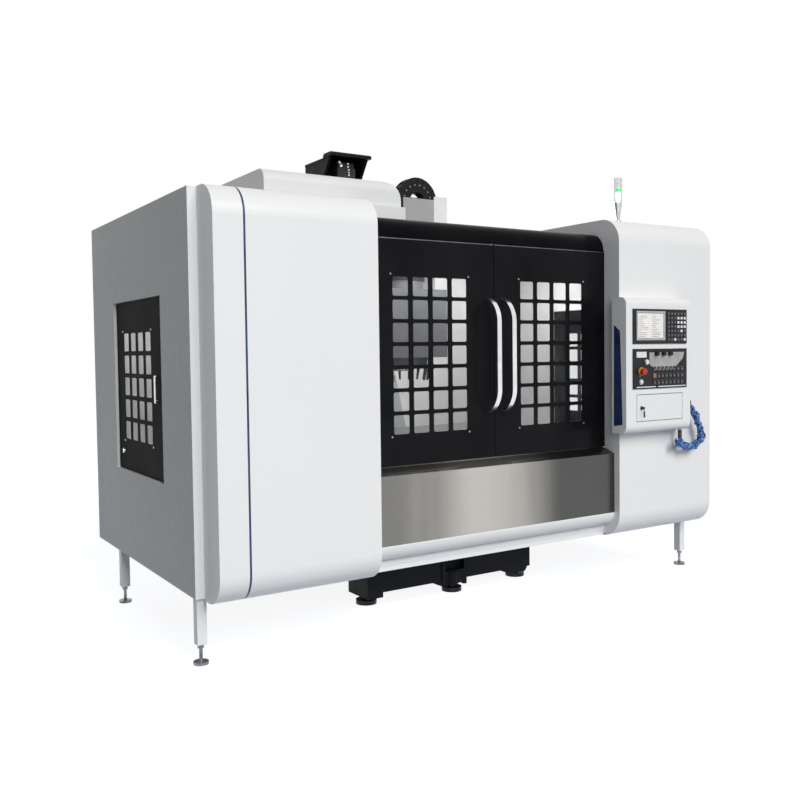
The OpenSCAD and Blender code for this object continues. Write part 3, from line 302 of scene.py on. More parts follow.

# Enclosure: folded sheet panels, powder coated white all over, with a welded pan underneath that catches
# the coolant. The outer skins of the side panels and the roof are painted grey, as painted shade.
side_coat_painted_shade = finish("side_powder_coat_painted_shade", (0.796, 0.802, 0.800), (0.812, 0.818, 0.816), (0.34, 0.42),
                   patch=0.9, grain=420.0, relief_depth=0.0002, strength=0.08, specular=0.08)
side_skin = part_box("right_side_panel")[1].x - 0.001
# painted shade: the outer skins of the side panels get a grey coat in place of the white
second_tone_and_painted_shade(side_coat_painted_shade, "X", side_skin, (0.555, 0.565, 0.53), (0.595, 0.605, 0.57))
dress(side_coat_painted_shade, "left_side_panel", "right_side_panel")
dress(white_coat, "rear_panels", "left_cowl", "right_cowl", "front_skirt", "chip_pan",
      "electrical_cabinet")
# painted shade: the roof panels and hood get a greyer coat than the white front
dress(finish("roof_powder_coat_painted_shade", (0.688, 0.690, 0.682), (0.704, 0.706, 0.698), (0.34, 0.42), patch=0.9,
             grain=420.0, strength=0.08), "roof_panels", "roof_hood")
navy_trim = finish("navy_trim", (0.008, 0.018, 0.085), (0.014, 0.030, 0.125), (0.25, 0.35), patch=9.0,
                   grain=500.0)
dress(navy_trim, "cowl_stripe")

# Front doors and their head: black gloss sheet on a folded frame, with clear
# panes behind the window bars.
black_gloss = finish("black_gloss", (0.004, 0.004, 0.005), (0.009, 0.009, 0.011), (0.22, 0.32), patch=3.0,
                     grain=500.0, relief_depth=0.0002, strength=0.1, specular=0.06)
dress(black_gloss, "left_door", "right_door")
dress(finish("head_gloss", (0.002, 0.002, 0.003), (0.005, 0.005, 0.006), (0.22, 0.32), patch=3.0,
             grain=500.0, strength=0.1, specular=0.03), "door_head")
dress(finish("black_satin", (0.004, 0.004, 0.005), (0.008, 0.008, 0.009), (0.45, 0.55), patch=3.0,
             grain=500.0, strength=0.1, specular=0.015), "left_side_door", "right_side_door")
clear_pane, pane_tree, pane_shader = fresh("clear_pane")
smear = cloud(pane_tree, coordinates(pane_tree), 6.0)
pane_tree.links.new(shades(pane_tree, smear, (0.10, 0.11, 0.11), (0.16, 0.17, 0.17)),
                    pane_shader.inputs["Base Color"])
pane_tree.links.new(between(pane_tree, smear, 0.02, 0.07), pane_shader.inputs["Roughness"])
pane_tree.links.new(between(pane_tree, smear, 0.06, 0.12), pane_shader.inputs["Alpha"])
dress(clear_pane, "left_door_glass", "right_door_glass", "left_side_glass", "right_side_glass")
bright_bar = finish("satin_bar", (0.72, 0.73, 0.75), (0.84, 0.85, 0.87), (0.12, 0.22), patch=18.0,
                    grain=500.0, metallic=1.0)
dress(bright_bar, "left_handle", "right_handle")

# Pane screws and side pulls: bright cap screws at the corners of each window, and
# bent aluminium pulls on the side doors with a lock barrel below.
def block(shape, low, high):
    size = Vector(high) - Vector(low)
    middle = (Vector(high) + Vector(low)) / 2
    placed = Matrix.Translation(middle) @ Matrix.Diagonal((*size, 1))
    return bmesh.ops.create_cube(shape, size=1, matrix=placed)["verts"]


def bar(shape, start, stop, radius, sides=20, tip=None):
    run = Vector(stop) - Vector(start)
    turned = run.to_track_quat("Z", "Y").to_matrix().to_4x4()
    placed = Matrix.Translation((Vector(start) + Vector(stop)) / 2) @ turned
    tip_radius = radius if tip is None else tip
    made = bmesh.ops.create_cone(shape, cap_ends=True, segments=sides, radius1=radius, radius2=tip_radius,
                                 depth=run.length, matrix=placed)
    return made["verts"]


def tint(verts, index):
    for face in {face for vert in verts for face in vert.link_faces}:
        face.material_index = index


def make(name, shape, materials, body=None, bevel=0.0, smooth=True):
    bmesh.ops.recalc_face_normals(shape, faces=shape.faces)
    mesh = bpy.data.meshes.new(name)
    shape.to_mesh(mesh)
    shape.free()
    for material in materials:
        mesh.materials.append(material)
    if smooth:
        mesh.shade_smooth()
        mesh.set_sharp_from_angle(angle=math.radians(38))
    piece = bpy.data.objects.new(name, mesh)
    scene.collection.objects.link(piece)
    if bevel:
        edge = piece.modifiers.new("rounded_edges", "BEVEL")
        edge.width = bevel
        edge.segments = 2
        edge.limit_method = "ANGLE"
    if body:
        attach(piece, body)
    return piece


def cap_screws(name, body, spots, out):
    shape = bmesh.new()
    rib_half = Vector((out.y, out.x, 0)) * 0.0036 + Vector((0, 0, 0.0008))
    for spot in spots:
        bar(shape, spot - out * 0.0005, spot + out * 0.0028, 0.0062, 20, 0.0048)
        block(shape, spot + out * 0.0020 - rib_half, spot + out * 0.0033 + rib_half)
    make(name, shape, (screw_zinc,), body)


screw_zinc = finish("screw_zinc", (0.30, 0.30, 0.31), (0.46, 0.46, 0.47), (0.25, 0.4), patch=60.0,
                    grain=500.0, metallic=1.0)
front_inset = 0.011
for door in ("left_door", "right_door"):
    low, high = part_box(door + "_glass")
    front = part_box(door)[0].y
    corners = [Vector((x, front, z)) for x in (low.x + front_inset, high.x - front_inset)
               for z in (low.z + front_inset, high.z - front_inset)]
    cap_screws(door + "_screws", door, corners, Vector((0, -1, 0)))
side_inset = 0.008
pull_half_wide, pull_half_tall = 0.0105, 0.0735
foot_half_tall, foot_away = 0.0095, 0.064
for door, way in (("left_side_door", -1), ("right_side_door", 1)):
    low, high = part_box(door)
    pane_low, pane_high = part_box(door.replace("door", "glass"))
    proud = low.x if way < 0 else high.x
    skin = proud - way * 0.022
    corners = [Vector((skin, y, z)) for y in (pane_low.y + side_inset, pane_high.y - side_inset)
               for z in (pane_low.z + side_inset, pane_high.z - side_inset)]
    cap_screws(door + "_screws", door, corners, Vector((way, 0, 0)))
    pull_y = low.y + 0.095
    pull_z = low.z + 0.493
    grip_in, grip_out = sorted((proud + way * 0.0012, proud - way * 0.0082))
    foot_in, foot_out = sorted((skin, proud - way * 0.004))
    pull = bmesh.new()
    block(pull, (grip_in, pull_y - pull_half_wide, pull_z - pull_half_tall),
          (grip_out, pull_y + pull_half_wide, pull_z + pull_half_tall))
    for z in (pull_z - foot_away, pull_z + foot_away):
        block(pull, (foot_in, pull_y - pull_half_wide, z - foot_half_tall),
              (foot_out, pull_y + pull_half_wide, z + foot_half_tall))
    make(door + "_pull", pull, (bright_bar,), door, bevel=0.0018)
    barrel = bmesh.new()
    barrel_spot = Vector((skin, high.y - 0.103, low.z + 0.107))
    bar(barrel, barrel_spot, barrel_spot + Vector((way * 0.0072, 0, 0)), 0.0150, 28, 0.0142)
    make(door + "_barrel", barrel, (bright_bar,), door, bevel=0.0008)

# Edge rolls: a half-round bead on the top edge of each front door, where it runs under the head, in a
# satin grey lighter than the black door that is a painted highlight of the door's rounded top edge.
def slab(shape, ring, shift):
    near = [shape.verts.new(spot) for spot in ring]
    far = [shape.verts.new(spot + Vector(shift)) for spot in ring]
    shape.faces.new(near)
    shape.faces.new(far)
    for k in range(len(ring)):
        shape.faces.new((near[k - 1], near[k], far[k], far[k - 1]))


# painted highlight: a lighter satin grey standing for the highlight on the door's rounded top edge
edge_highlight_satin = finish("edge_highlight_satin", (0.10, 0.10, 0.11), (0.17, 0.17, 0.18), (0.25, 0.35), patch=12.0,
                    grain=500.0, metallic=0.8)
roll_profile = ((0.0, -0.0060), (-0.0012, -0.0052), (-0.0018, -0.0030), (-0.0012, -0.0008), (0.0, 0.0))
for door in ("left_door", "right_door"):
    low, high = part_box(door)
    edge_z = high.z - 0.030
    roll = bmesh.new()
    roll_end = [Vector((low.x + 0.003, low.y + y, edge_z + z)) for y, z in roll_profile]
    slab(roll, roll_end, (high.x - low.x - 0.006, 0, 0))
    make(door + "_edge_highlight", roll, (edge_highlight_satin,), door)

# Rear guards: two cut sheets with a folded edge, coated with the panels, that close
# the rear beside the sloping sides of the column and are held by dome screws.
guard_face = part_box("rear_panels")[0].y - 0.0025
guard_gauge = 0.0020
fold_deep = 0.0200
guard_outline = ((0.705, 0.563), (0.6235, 0.563), (0.6235, 0.701), (0.4435, 1.501), (0.4435, 1.520),
                 (0.705, 1.520))
guard_fold = ((0.6235, 0.701), (0.6255, 0.701), (0.4455, 1.501), (0.4435, 1.501))
guard_screws = [(0.698, 0.62 + 0.22 * number) for number in range(5)] + [(0.60, 1.511), (0.48, 1.511)]
for name, side in (("left_rear_guard", -1), ("right_rear_guard", 1)):
    guard = bmesh.new()
    sheet = [Vector((side * x, guard_face, z)) for x, z in guard_outline]
    slab(guard, sheet, (0, guard_gauge, 0))
    lip = [Vector((side * x, guard_face - fold_deep, z)) for x, z in guard_fold]
    slab(guard, lip, (0, fold_deep + 0.0005, 0))
    for x, z in guard_screws:
        spot = Vector((side * x, guard_face + 0.0005, z))
        bar(guard, spot, spot - Vector((0, 0.0045, 0)), 0.0070, 14, 0.0035)
    make(name, guard, (white_coat,), "machine", bevel=0.0005)

# Cabinet hinges, louvres and panel screws: plated knuckle hinges on the rear cabinet's
# doors, louvres pressed out of their sheet, and dome screws down the panels' edges.
cabinet_low, cabinet_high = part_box("electrical_cabinet")
hinge_y = cabinet_high.y - 0.032
hinge_in = 0.22
knuckle_half = Vector((0, 0, 0.0142))
hinges = bmesh.new()
for x in (cabinet_low.x + 0.001, cabinet_high.x - 0.001):
    for z in (cabinet_low.z + hinge_in, (cabinet_low.z + cabinet_high.z) / 2, cabinet_high.z - hinge_in):
        for knuckle in (-0.030, 0.0, 0.030):
            spot = Vector((x, hinge_y, z + knuckle))
            bar(hinges, spot - knuckle_half, spot + knuckle_half, 0.0070, 18)
        bar(hinges, (x, hinge_y, z - 0.048), (x, hinge_y, z + 0.048), 0.0042, 14)
make("cabinet_hinges", hinges, (screw_zinc,), "machine", bevel=0.0006)
louvre_half = 0.11
louvre_pitch = 0.022
louvre_profile = ((-0.0005, 0.0), (0.0060, -0.0110), (0.0064, -0.0135), (-0.0005, -0.0150))
door_face = cabinet_high.y - 0.024
door_middles = [cabinet_low.x + share * (cabinet_high.x - cabinet_low.x) for share in (0.25, 0.75)]
louvres = bmesh.new()
for middle in door_middles:
    for base_z in (cabinet_low.z + 0.12, cabinet_high.z - 0.32):
        for number in range(8):
            top_z = base_z + louvre_pitch * number
            louvre_end = [Vector((middle - louvre_half, door_face + y, top_z + z))
                          for y, z in louvre_profile]
            slab(louvres, louvre_end, (2 * louvre_half, 0, 0))
make("cabinet_louvres", louvres, (white_coat,), "machine", bevel=0.0008)
rear_low, rear_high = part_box("rear_panels")
rear_inset = 0.022
rear_pitch = 0.24
rear_screws = bmesh.new()
for x in (rear_low.x + rear_inset, rear_high.x - rear_inset):
    for number in range(8):
        spot = Vector((x, rear_high.y, rear_low.z + 0.05 + rear_pitch * number))
        bar(rear_screws, spot - Vector((0, 0.0005, 0)), spot + Vector((0, 0.0045, 0)), 0.0075, 16, 0.0038)
make("rear_screws", rear_screws, (screw_zinc,), "machine")

# Apron: brushed stainless sheet under the doors, its grain along the machine, with broad light and dark
# stripes across its length that are painted reflections of the surroundings.
brushed, brush_tree, brush_shader = fresh("brushed_stainless_painted_reflection")
brush_shader.inputs["Metallic"].default_value = 1.0
sheet_low, sheet_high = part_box("apron")
# painted reflection: light and dark stripes laid in the base colour from the sheet's left end to its
# right
along = brush_tree.nodes.new("ShaderNodeSeparateXYZ")
brush_tree.links.new(coordinates(brush_tree), along.inputs[0])
sway = brush_tree.nodes.new("ShaderNodeMath")
sway.operation = "ADD"
share = between(brush_tree, along.outputs["X"], 0.0, 1.0, sheet_low.x, sheet_high.x)
drift = cloud(brush_tree, coordinates(brush_tree, (3, 0.6, 0.3)), 1.0)
brush_tree.links.new(share, sway.inputs[0])
brush_tree.links.new(between(brush_tree, drift, -0.05, 0.05), sway.inputs[1])
painted_reflection_bands = brush_tree.nodes.new("ShaderNodeValToRGB")
painted_reflection_bands.color_ramp.interpolation = "EASE"
painted_reflection_bands.color_ramp.elements[0].position = 0.08
painted_reflection_bands.color_ramp.elements[0].color = (0.21, 0.205, 0.19, 1)
painted_reflection_bands.color_ramp.elements[1].position = 0.80
painted_reflection_bands.color_ramp.elements[1].color = (0.10, 0.10, 0.095, 1)
for position, tone in ((0.38, 0.52), (0.50, 0.48)):
    stop = painted_reflection_bands.color_ramp.elements.new(position)
    stop.color = (tone, tone * 0.95, tone * 0.88, 1)
brush_tree.links.new(sway.outputs[0], painted_reflection_bands.inputs["Fac"])
brush_tree.links.new(painted_reflection_bands.outputs["Color"], brush_shader.inputs["Base Color"])
brush_marks = cloud(brush_tree, coordinates(brush_tree, (0.7, 40, 300)), 1.0)
brush_tree.links.new(between(brush_tree, brush_marks, 0.24, 0.38), brush_shader.inputs["Roughness"])
brush_tree.links.new(relief(brush_tree, brush_marks, 0.08, 0.0002), brush_shader.inputs["Normal"])
dress(brushed, "apron")

# Motor plugs: turned and plated plug shells on the vertical motor, with the cap
# screws of its end cover, seen under the top plate of the seat.
plug_plate = finish("plug_plate", (0.62, 0.63, 0.62), (0.78, 0.79, 0.78), (0.15, 0.28), patch=50.0,
                    grain=500.0, metallic=0.9)
screw_low, screw_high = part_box("z_screw")
motor_face = (screw_low.y + screw_high.y) / 2 - 0.074
plug_turns = ((-0.052, 0.008, 2.900), (-0.054, -0.014, 2.904), (-0.066, -0.022, 2.914),
              (-0.082, -0.024, 2.926))
plug_line = [Vector((x, motor_face + y, z)) for x, y, z in plug_turns]
plugs = bmesh.new()
for start, stop in zip(plug_line, plug_line[1:]):
    bar(plugs, start, stop, 0.0085, 16)
bar(plugs, plug_line[0], plug_line[1], 0.0125, 6)
bar(plugs, plug_line[2], plug_line[3], 0.0112, 6, 0.0100)
for z in (2.838, 2.857, 2.876):
    bar(plugs, (0.016, motor_face + 0.001, z), (0.016, motor_face - 0.009, z), 0.0070, 16, 0.0062)
for z in (2.900, 2.922):
    bar(plugs, (0.014, motor_face + 0.009, z), (0.014, motor_face - 0.002, z), 0.0080, 16, 0.0070)
make("motor_plugs", plugs, (plug_plate,), "machine", bevel=0.0006)

# Seat cover: a folded black sheet that lies on the cheeks of the motor seat behind
# its top slab and is held by four dome screws.
seat_low, seat_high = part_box("z_motor_seat")
cover_front, cover_back = seat_low.y + 0.133, seat_high.y + 0.0015
cover_under = seat_high.z - 0.0277
cover_half = 0.164
cover = bmesh.new()
block(cover, (-cover_half, cover_front, cover_under), (cover_half, cover_back, cover_under + 0.002))
for side in (-1, 1):
    inner, outer = sorted((side * 0.1625, side * 0.1641))
    block(cover, (inner, cover_front, cover_under - 0.016), (outer, cover_back, cover_under + 0.001))
    for y in (cover_front + 0.04, cover_back - 0.04):
        spot = Vector((side * 0.150, y, cover_under + 0.001))
        bar(cover, spot, spot + Vector((0, 0, 0.0055)), 0.0070, 12, 0.0035)
make("seat_cover", cover, (seat_black,), "machine", bevel=0.0006)

# Chain and guard: moulded nylon links, pinned to each other, that loop over from
# the head to a grey sheet guard on the column.
chain_nylon = finish("chain_nylon", (0.004, 0.004, 0.006), (0.010, 0.010, 0.012), (0.4, 0.55), patch=20.0,
                     grain=500.0, specular=0.15)
pin_grey = finish("pin_grey", (0.16, 0.16, 0.17), (0.26, 0.26, 0.27), (0.3, 0.45), patch=60.0,
                  grain=500.0, metallic=0.6)
chain_low, chain_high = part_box("cable_chain")
link_half = 0.0575
link_pitch = 0.046
link_thick = 0.011
arch_x = (chain_low.x + chain_high.x) / 2
arch_radius = (chain_high.x - chain_low.x) / 2 - link_half
arch_z = chain_high.z - arch_radius - link_half
left_foot = 2.060
right_foot = chain_low.z
left_run = arch_z - left_foot
right_run = arch_z - right_foot


def chain_line(along):
    if along < left_run:
        return Vector((arch_x - arch_radius, 0, left_foot + along)), Vector((-1, 0, 0))
    turn = (along - left_run) / arch_radius
    if turn < math.pi:
        out = Vector((-math.cos(turn), 0, math.sin(turn)))
        return Vector((arch_x, 0, arch_z)) + out * arch_radius, out
    rest = along - left_run - math.pi * arch_radius
    return Vector((arch_x + arch_radius, 0, arch_z - rest)), Vector((1, 0, 0))


def link_plate(shape, start, stop, near, far, inner, outer):
    steps = 3
    rings = []
    for step in range(steps + 1):
        spot, out = chain_line(start + (stop - start) * step / steps)
        ring = []
        for reach, y in ((inner, near), (outer, near), (outer, far), (inner, far)):
            ring.append(shape.verts.new((spot + out * reach) + Vector((0, y, 0))))
        rings.append(ring)
    for one, two in zip(rings, rings[1:]):
        for k in range(4):
            shape.faces.new((one[k - 1], one[k], two[k], two[k - 1]))
    shape.faces.new(rings[0])
    shape.faces.new(rings[-1])


def chain_run(name, first, last):
    shape = bmesh.new()
    count = round((last - first) / link_pitch)
    pitch = (last - first) / count
    near_side = (chain_low.y, chain_low.y + link_thick)
    far_side = (chain_high.y - link_thick, chain_high.y)
    web_half = link_half - 0.006
    for number in range(count):
        start = first + number * pitch
        stop = start + pitch
        for near, far in (near_side, far_side):
            link_plate(shape, start + 0.001, stop - 0.001, near, far, -link_half, link_half)
        for inner in (-link_half + 0.002, link_half - 0.012):
            link_plate(shape, start + 0.012, stop - 0.012, chain_low.y + 0.010, chain_high.y - 0.010,
                       inner, inner + 0.010)
        link_plate(shape, start, stop, chain_low.y + 0.004, chain_low.y + 0.010, -web_half, web_half)
        pin_spot = chain_line(start + pitch / 2)[0] + Vector((0, chain_low.y, 0))
        pin = bar(shape, pin_spot + Vector((0, 0.002, 0)), pin_spot - Vector((0, 0.0015, 0)), 0.0075, 14,
                  0.0062)
        tint(pin, 1)
    return make(name, shape, (chain_nylon, pin_grey), smooth=False)


crown = left_run + math.pi * arch_radius / 2
far_end = left_run + math.pi * arch_radius + right_run
moving_chain = chain_run("chain_moving_run", 0.0, crown)
standing_chain = chain_run("chain_standing_run", crown, far_end)
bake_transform(moving_chain)
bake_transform(standing_chain)
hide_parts("cable_chain")
guard_sheet = finish("guard_sheet", (0.30, 0.30, 0.305), (0.37, 0.37, 0.375), (0.35, 0.5), patch=5.0,
                     grain=420.0)
second_tone_and_painted_shade(guard_sheet, "X", 0.791, (0.70, 0.71, 0.71), (0.75, 0.76, 0.76))
dress(guard_sheet, "chain_guard")

# Control box: folded white box on the cabinet's front, with a navy strip let into
# its left cheek and a small locker under the panels.
dress(white_coat, "pendant_housing", "locker_door")
box_low, box_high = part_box("pendant_housing")
trim_outline = ((-0.017, 1.679), (-0.067, 1.641), (-0.086, 1.063), (-0.015, 1.052))
trim = bmesh.new()
slab(trim, [Vector((box_low.x - 0.0015, box_high.y + y, z)) for y, z in trim_outline], (0.0025, 0, 0))
make("cheek_trim", trim, (navy_trim,), "machine", bevel=0.0006)

# Lock of the locker: black nickel barrel with its key left in, and a small tag that
# hangs from the key on a split ring.
door_low, door_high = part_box("locker_door")
lock_spot = Vector((door_low.x + 0.040, door_high.y - 0.004, (door_low.z + door_high.z) / 2))
lock = bmesh.new()
bar(lock, lock_spot + Vector((0, 0.001, 0)), lock_spot - Vector((0, 0.004, 0)), 0.0135, 28, 0.0125)
bar(lock, lock_spot - Vector((0, 0.004, 0)), lock_spot - Vector((0, 0.0086, 0)), 0.0106, 28, 0.0100)
block(lock, lock_spot + Vector((-0.0024, -0.0265, -0.0085)),
      lock_spot + Vector((0.0024, -0.0082, 0.0085)))
ring_middle = lock_spot + Vector((0, -0.0225, -0.0125))
ring_radius = 0.0055
ring_parts = 14
ring_angles = [number * math.tau / ring_parts for number in range(ring_parts + 1)]
ring_line = [ring_middle + Vector((0, math.cos(angle), math.sin(angle))) * ring_radius
             for angle in ring_angles]
for start, stop in zip(ring_line, ring_line[1:]):
    bar(lock, start, stop, 0.0007, 6)
lock_nickel = finish("lock_nickel", (0.06, 0.06, 0.065), (0.16, 0.16, 0.17), (0.18, 0.30), patch=60.0,
                     grain=500.0, metallic=0.9)
make("lock_and_key", lock, (lock_nickel,), "locker_door", bevel=0.0006)
tag_black = finish("tag_black", (0.010, 0.010, 0.012), (0.022, 0.022, 0.025), (0.4, 0.5), patch=60.0,
                   grain=700.0)
tag = bmesh.new()
block(tag, lock_spot + Vector((-0.0015, -0.0285, -0.058)), lock_spot + Vector((0.0015, -0.0165, -0.017)))
make("key_tag", tag, (tag_black,), "locker_door", bevel=0.0012)

# Display unit: a cast black panel with its screen behind glass, soft keys under it
# and blocks of moulded keys on the right.
panel_black = finish("panel_black", (0.006, 0.006, 0.008), (0.013, 0.013, 0.016), (0.35, 0.5), patch=24.0,
                     grain=900.0, specular=0.25)
dress(panel_black, "display_unit", "operator_unit", "mode_knob", "feed_knob", "speed_knob")
key_white = finish("key_white", (0.70, 0.71, 0.71), (0.82, 0.83, 0.83), (0.3, 0.4), patch=80.0,
                   grain=900.0)
key_dark = finish("key_dark", (0.012, 0.012, 0.014), (0.024, 0.024, 0.027), (0.4, 0.5), patch=80.0,
                  grain=900.0)
key_amber = finish("key_amber", (0.26, 0.11, 0.02), (0.36, 0.16, 0.03), (0.3, 0.4), patch=80.0,
                   grain=900.0)
mark_grey = finish("mark_grey", (0.20, 0.20, 0.21), (0.30, 0.30, 0.31), (0.3, 0.4), patch=80.0,
                   grain=900.0)
face_depth = 0.002


def key_blocks(name, unit, first, pitch, size, cells, material, front=0.0040, back=0.0008,
               bevel=0.0012):
    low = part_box(unit)[0]
    face = low.y + face_depth
    blocks = bmesh.new()
    for column, row in cells:
        x = low.x + first[0] + column * pitch[0]
        z = low.z + first[1] + row * pitch[1]
        block(blocks, (x, face - front, z), (x + size[0], face - back, z + size[1]))
    make(name, blocks, (material,), "machine", bevel=bevel, smooth=bevel > 0)


display_pitch = (0.030, 0.027)
pale_cells = {(c, r) for c in (3, 4, 5) for r in (3, 4, 5)} | {(4, 2), (2, 0), (5, 0)}
dark_cells = [(c, r) for c in range(6) for r in range(7) if (c, r) not in pale_cells]
key_blocks("display_keys_pale", "display_unit", (0.310, 0.018), display_pitch, (0.019, 0.016),
           sorted(pale_cells), key_white)
key_blocks("display_keys_dark", "display_unit", (0.3075, 0.0155), display_pitch, (0.024, 0.021),
           dark_cells, key_dark)
key_blocks("display_marks", "display_unit", (0.3155, 0.0235), display_pitch, (0.008, 0.006), dark_cells,
           mark_grey, front=0.0043, back=0.0038, bevel=0.0)
key_blocks("soft_keys", "display_unit", (0.0495, 0.0095), (0.024, 0.0), (0.019, 0.013),
           [(c, 0) for c in range(10)], key_dark)

# Screen: a lit liquid-crystal panel with plain rows on it, set in a raised bezel
# of pale moulded plastic.
display_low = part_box("display_unit")[0]
display_face = display_low.y + face_depth
screen_low = Vector((display_low.x + 0.038, display_face + 0.003, display_low.z + 0.030))
screen_high = screen_low + Vector((0.243, 0, 0.165))
screen_lip = 0.006
screen_glow = finish("screen_glow", (0.70, 0.68, 0.63), (0.80, 0.78, 0.74), (0.12, 0.2), patch=9.0,
                     grain=700.0)
screen_shader = screen_glow.node_tree.nodes["Principled BSDF"]
screen_shader.inputs["Emission Color"].default_value = (1.0, 0.96, 0.90, 1)
screen_shader.inputs["Emission Strength"].default_value = 0.12
screen_row = finish("screen_row", (0.22, 0.22, 0.24), (0.34, 0.34, 0.36), (0.15, 0.25), patch=30.0,
                    grain=700.0)
bezel_grey = finish("bezel_grey", (0.38, 0.39, 0.40), (0.52, 0.53, 0.54), (0.3, 0.4), patch=30.0,
                    grain=700.0)
screen = bmesh.new()
block(screen, screen_low + Vector((screen_lip, -0.0016, screen_lip)),
      screen_high - Vector((screen_lip, 0.0, screen_lip)))
make("screen_panel", screen, (screen_glow,), "machine")
rows = bmesh.new()
random.seed(5)
wide = screen_high.x - screen_low.x - 2 * screen_lip
tall = screen_high.z - screen_low.z - 2 * screen_lip
for number in range(12):
    row_z = screen_low.z + 0.014 + number * (tall - 0.016) / 12
    start = 0.03 + 0.02 * (number % 3)
    for part in range(2):
        length = wide * random.uniform(0.10, 0.34)
        x = screen_low.x + screen_lip + wide * (start + part * 0.5)
        block(rows, (x, screen_low.y - 0.0020, row_z),
              (x + length, screen_low.y - 0.0012, row_z + 0.0028))
make("screen_rows", rows, (screen_row,), "machine", smooth=False)
bezel = bmesh.new()
for low, high in (((-0.008, -0.008), (0.251, 0.004)), ((-0.008, 0.161), (0.251, 0.173)),
                  ((-0.008, 0.003), (0.004, 0.162)), ((0.239, 0.003), (0.251, 0.162))):
    block(bezel, (screen_low.x + low[0], display_face - 0.0022, screen_low.z + low[1]),
          (screen_low.x + high[0], display_face + 0.0012, screen_low.z + high[1]))
make("screen_bezel", bezel, (bezel_grey,), "machine", bevel=0.001)

# Operator unit: black panel with a grey film field behind the knobs, a yellow
# collar under the stop button, bezels, lamps and rows of keys.
operator_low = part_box("operator_unit")[0]
operator_face = operator_low.y + face_depth
field_grey = finish("field_grey", (0.30, 0.31, 0.30), (0.42, 0.42, 0.41), (0.35, 0.45), patch=22.0,
                    grain=700.0)
field_outline = ((0.145, 0.151), (0.204, 0.115), (0.362, 0.115), (0.454, 0.186), (0.467, 0.226),
                 (0.145, 0.226))
field_ring = [operator_low + Vector((x, face_depth - 0.0008, z)) for x, z in field_outline]
field = bmesh.new()
slab(field, field_ring, (0, 0.0014, 0))
make("knob_field", field, (field_grey,), "machine", smooth=False)
plates = bmesh.new()
block(plates, (operator_low.x + 0.030, operator_face - 0.0012, operator_low.z + 0.194),
      (operator_low.x + 0.118, operator_face + 0.0004, operator_low.z + 0.230))
make("blank_plate", plates, (key_white,), "machine", bevel=0.0005)
operator_pitch = (0.036, 0.042)
operator_cells = [(c, r) for c in range(8) for r in range(3)]
amber_cell = (0, 1)
plain_cells = [cell for cell in operator_cells if cell != amber_cell]
key_blocks("operator_keys", "operator_unit", (0.1775, 0.0235), operator_pitch, (0.027, 0.029),
           plain_cells, key_dark)
key_blocks("operator_marks", "operator_unit", (0.187, 0.032), operator_pitch, (0.009, 0.006), plain_cells,
           mark_grey, front=0.0043, back=0.0038, bevel=0.0)
key_blocks("amber_key", "operator_unit", (0.1775, 0.0235), operator_pitch, (0.027, 0.029), [amber_cell],
           key_amber)
lamps = bmesh.new()
for c, r in operator_cells:
    lamp_x = operator_low.x + 0.183 + c * operator_pitch[0]
    lamp_z = operator_low.z + 0.048 + r * operator_pitch[1]
    spot = Vector((lamp_x, operator_face - 0.0044, lamp_z))
    bar(lamps, spot, spot + Vector((0, 0.001, 0)), 0.0019, 10)
make("key_lamps", lamps, (key_amber,), "machine", smooth=False)
# painted highlight: bright alloy strips along the panel's bottom edge, standing for the glare on its
# bottom bezel
rail = bmesh.new()
for start, stop in ((0.028, 0.200), (0.222, 0.480)):
    block(rail, (operator_low.x + start, operator_face - 0.0030, operator_low.z + 0.008),
          (operator_low.x + stop, operator_face + 0.0004, operator_low.z + 0.014))
make("panel_highlight_strips", rail, (bright_bar,), "machine", bevel=0.0008)
collar_yellow = finish("collar_yellow", (0.42, 0.17, 0.02), (0.56, 0.25, 0.03), (0.3, 0.4), patch=50.0,
                       grain=700.0)


def washer(shape, spot, inner, outer, front, back, sides=40):
    ways = [(math.cos(k * math.tau / sides), math.sin(k * math.tau / sides)) for k in range(sides)]
    rings = []
    for radius, depth in ((inner, back), (outer, back), (outer * 0.97, front), (inner, front)):
        rings.append([shape.verts.new((spot.x + radius * x, depth, spot.z + radius * z))
                      for x, z in ways])
    for one, two in zip(rings, rings[1:] + rings[:1]):
        for k in range(sides):
            shape.faces.new((one[k - 1], one[k], two[k], two[k - 1]))


stop_low, stop_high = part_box("emergency_stop")
stop_spot = (stop_low + stop_high) / 2
collar = bmesh.new()
washer(collar, stop_spot, 0.0125, 0.0275, operator_face - 0.005, operator_face + 0.0002)
make("stop_collar", collar, (collar_yellow,), "machine")
bezels = bmesh.new()
for name in ("start_button", "stop_button"):
    low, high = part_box(name)
    washer(bezels, (low + high) / 2, 0.0142, 0.0175, operator_face - 0.0052, operator_face + 0.0002)
bezel_chrome = finish("bezel_chrome", (0.55, 0.56, 0.57), (0.70, 0.71, 0.72), (0.12, 0.22), patch=60.0,
                      grain=500.0, metallic=1.0)
make("button_bezels", bezels, (bezel_chrome,), "machine")
ticks = bmesh.new()
for name in ("mode_knob", "feed_knob", "speed_knob"):
    low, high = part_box(name)
    spot = (low + high) / 2
    centre = Vector((spot.x, operator_face - 0.0010, spot.z))
    for number in range(9):
        angle = math.radians(-40 + number * 32.5)
        way = Vector((math.cos(angle), 0, math.sin(angle)))
        bar(ticks, centre + way * 0.0175, centre + way * 0.0215, 0.0007, 6)
make("knob_ticks", ticks, (panel_black,), "machine", smooth=False)
green_lamp = finish("green_lamp", (0.05, 0.42, 0.12), (0.08, 0.55, 0.18), (0.2, 0.3), patch=60.0,
                    grain=500.0)
ready = bmesh.new()
ready_spot = Vector((operator_low.x + 0.057, operator_face, operator_low.z + 0.078))
bar(ready, ready_spot + Vector((0, 0.0002, 0)), ready_spot - Vector((0, 0.004, 0)), 0.005, 20, 0.0042)
make("ready_lamp", ready, (green_lamp,), "machine", bevel=0.0006)
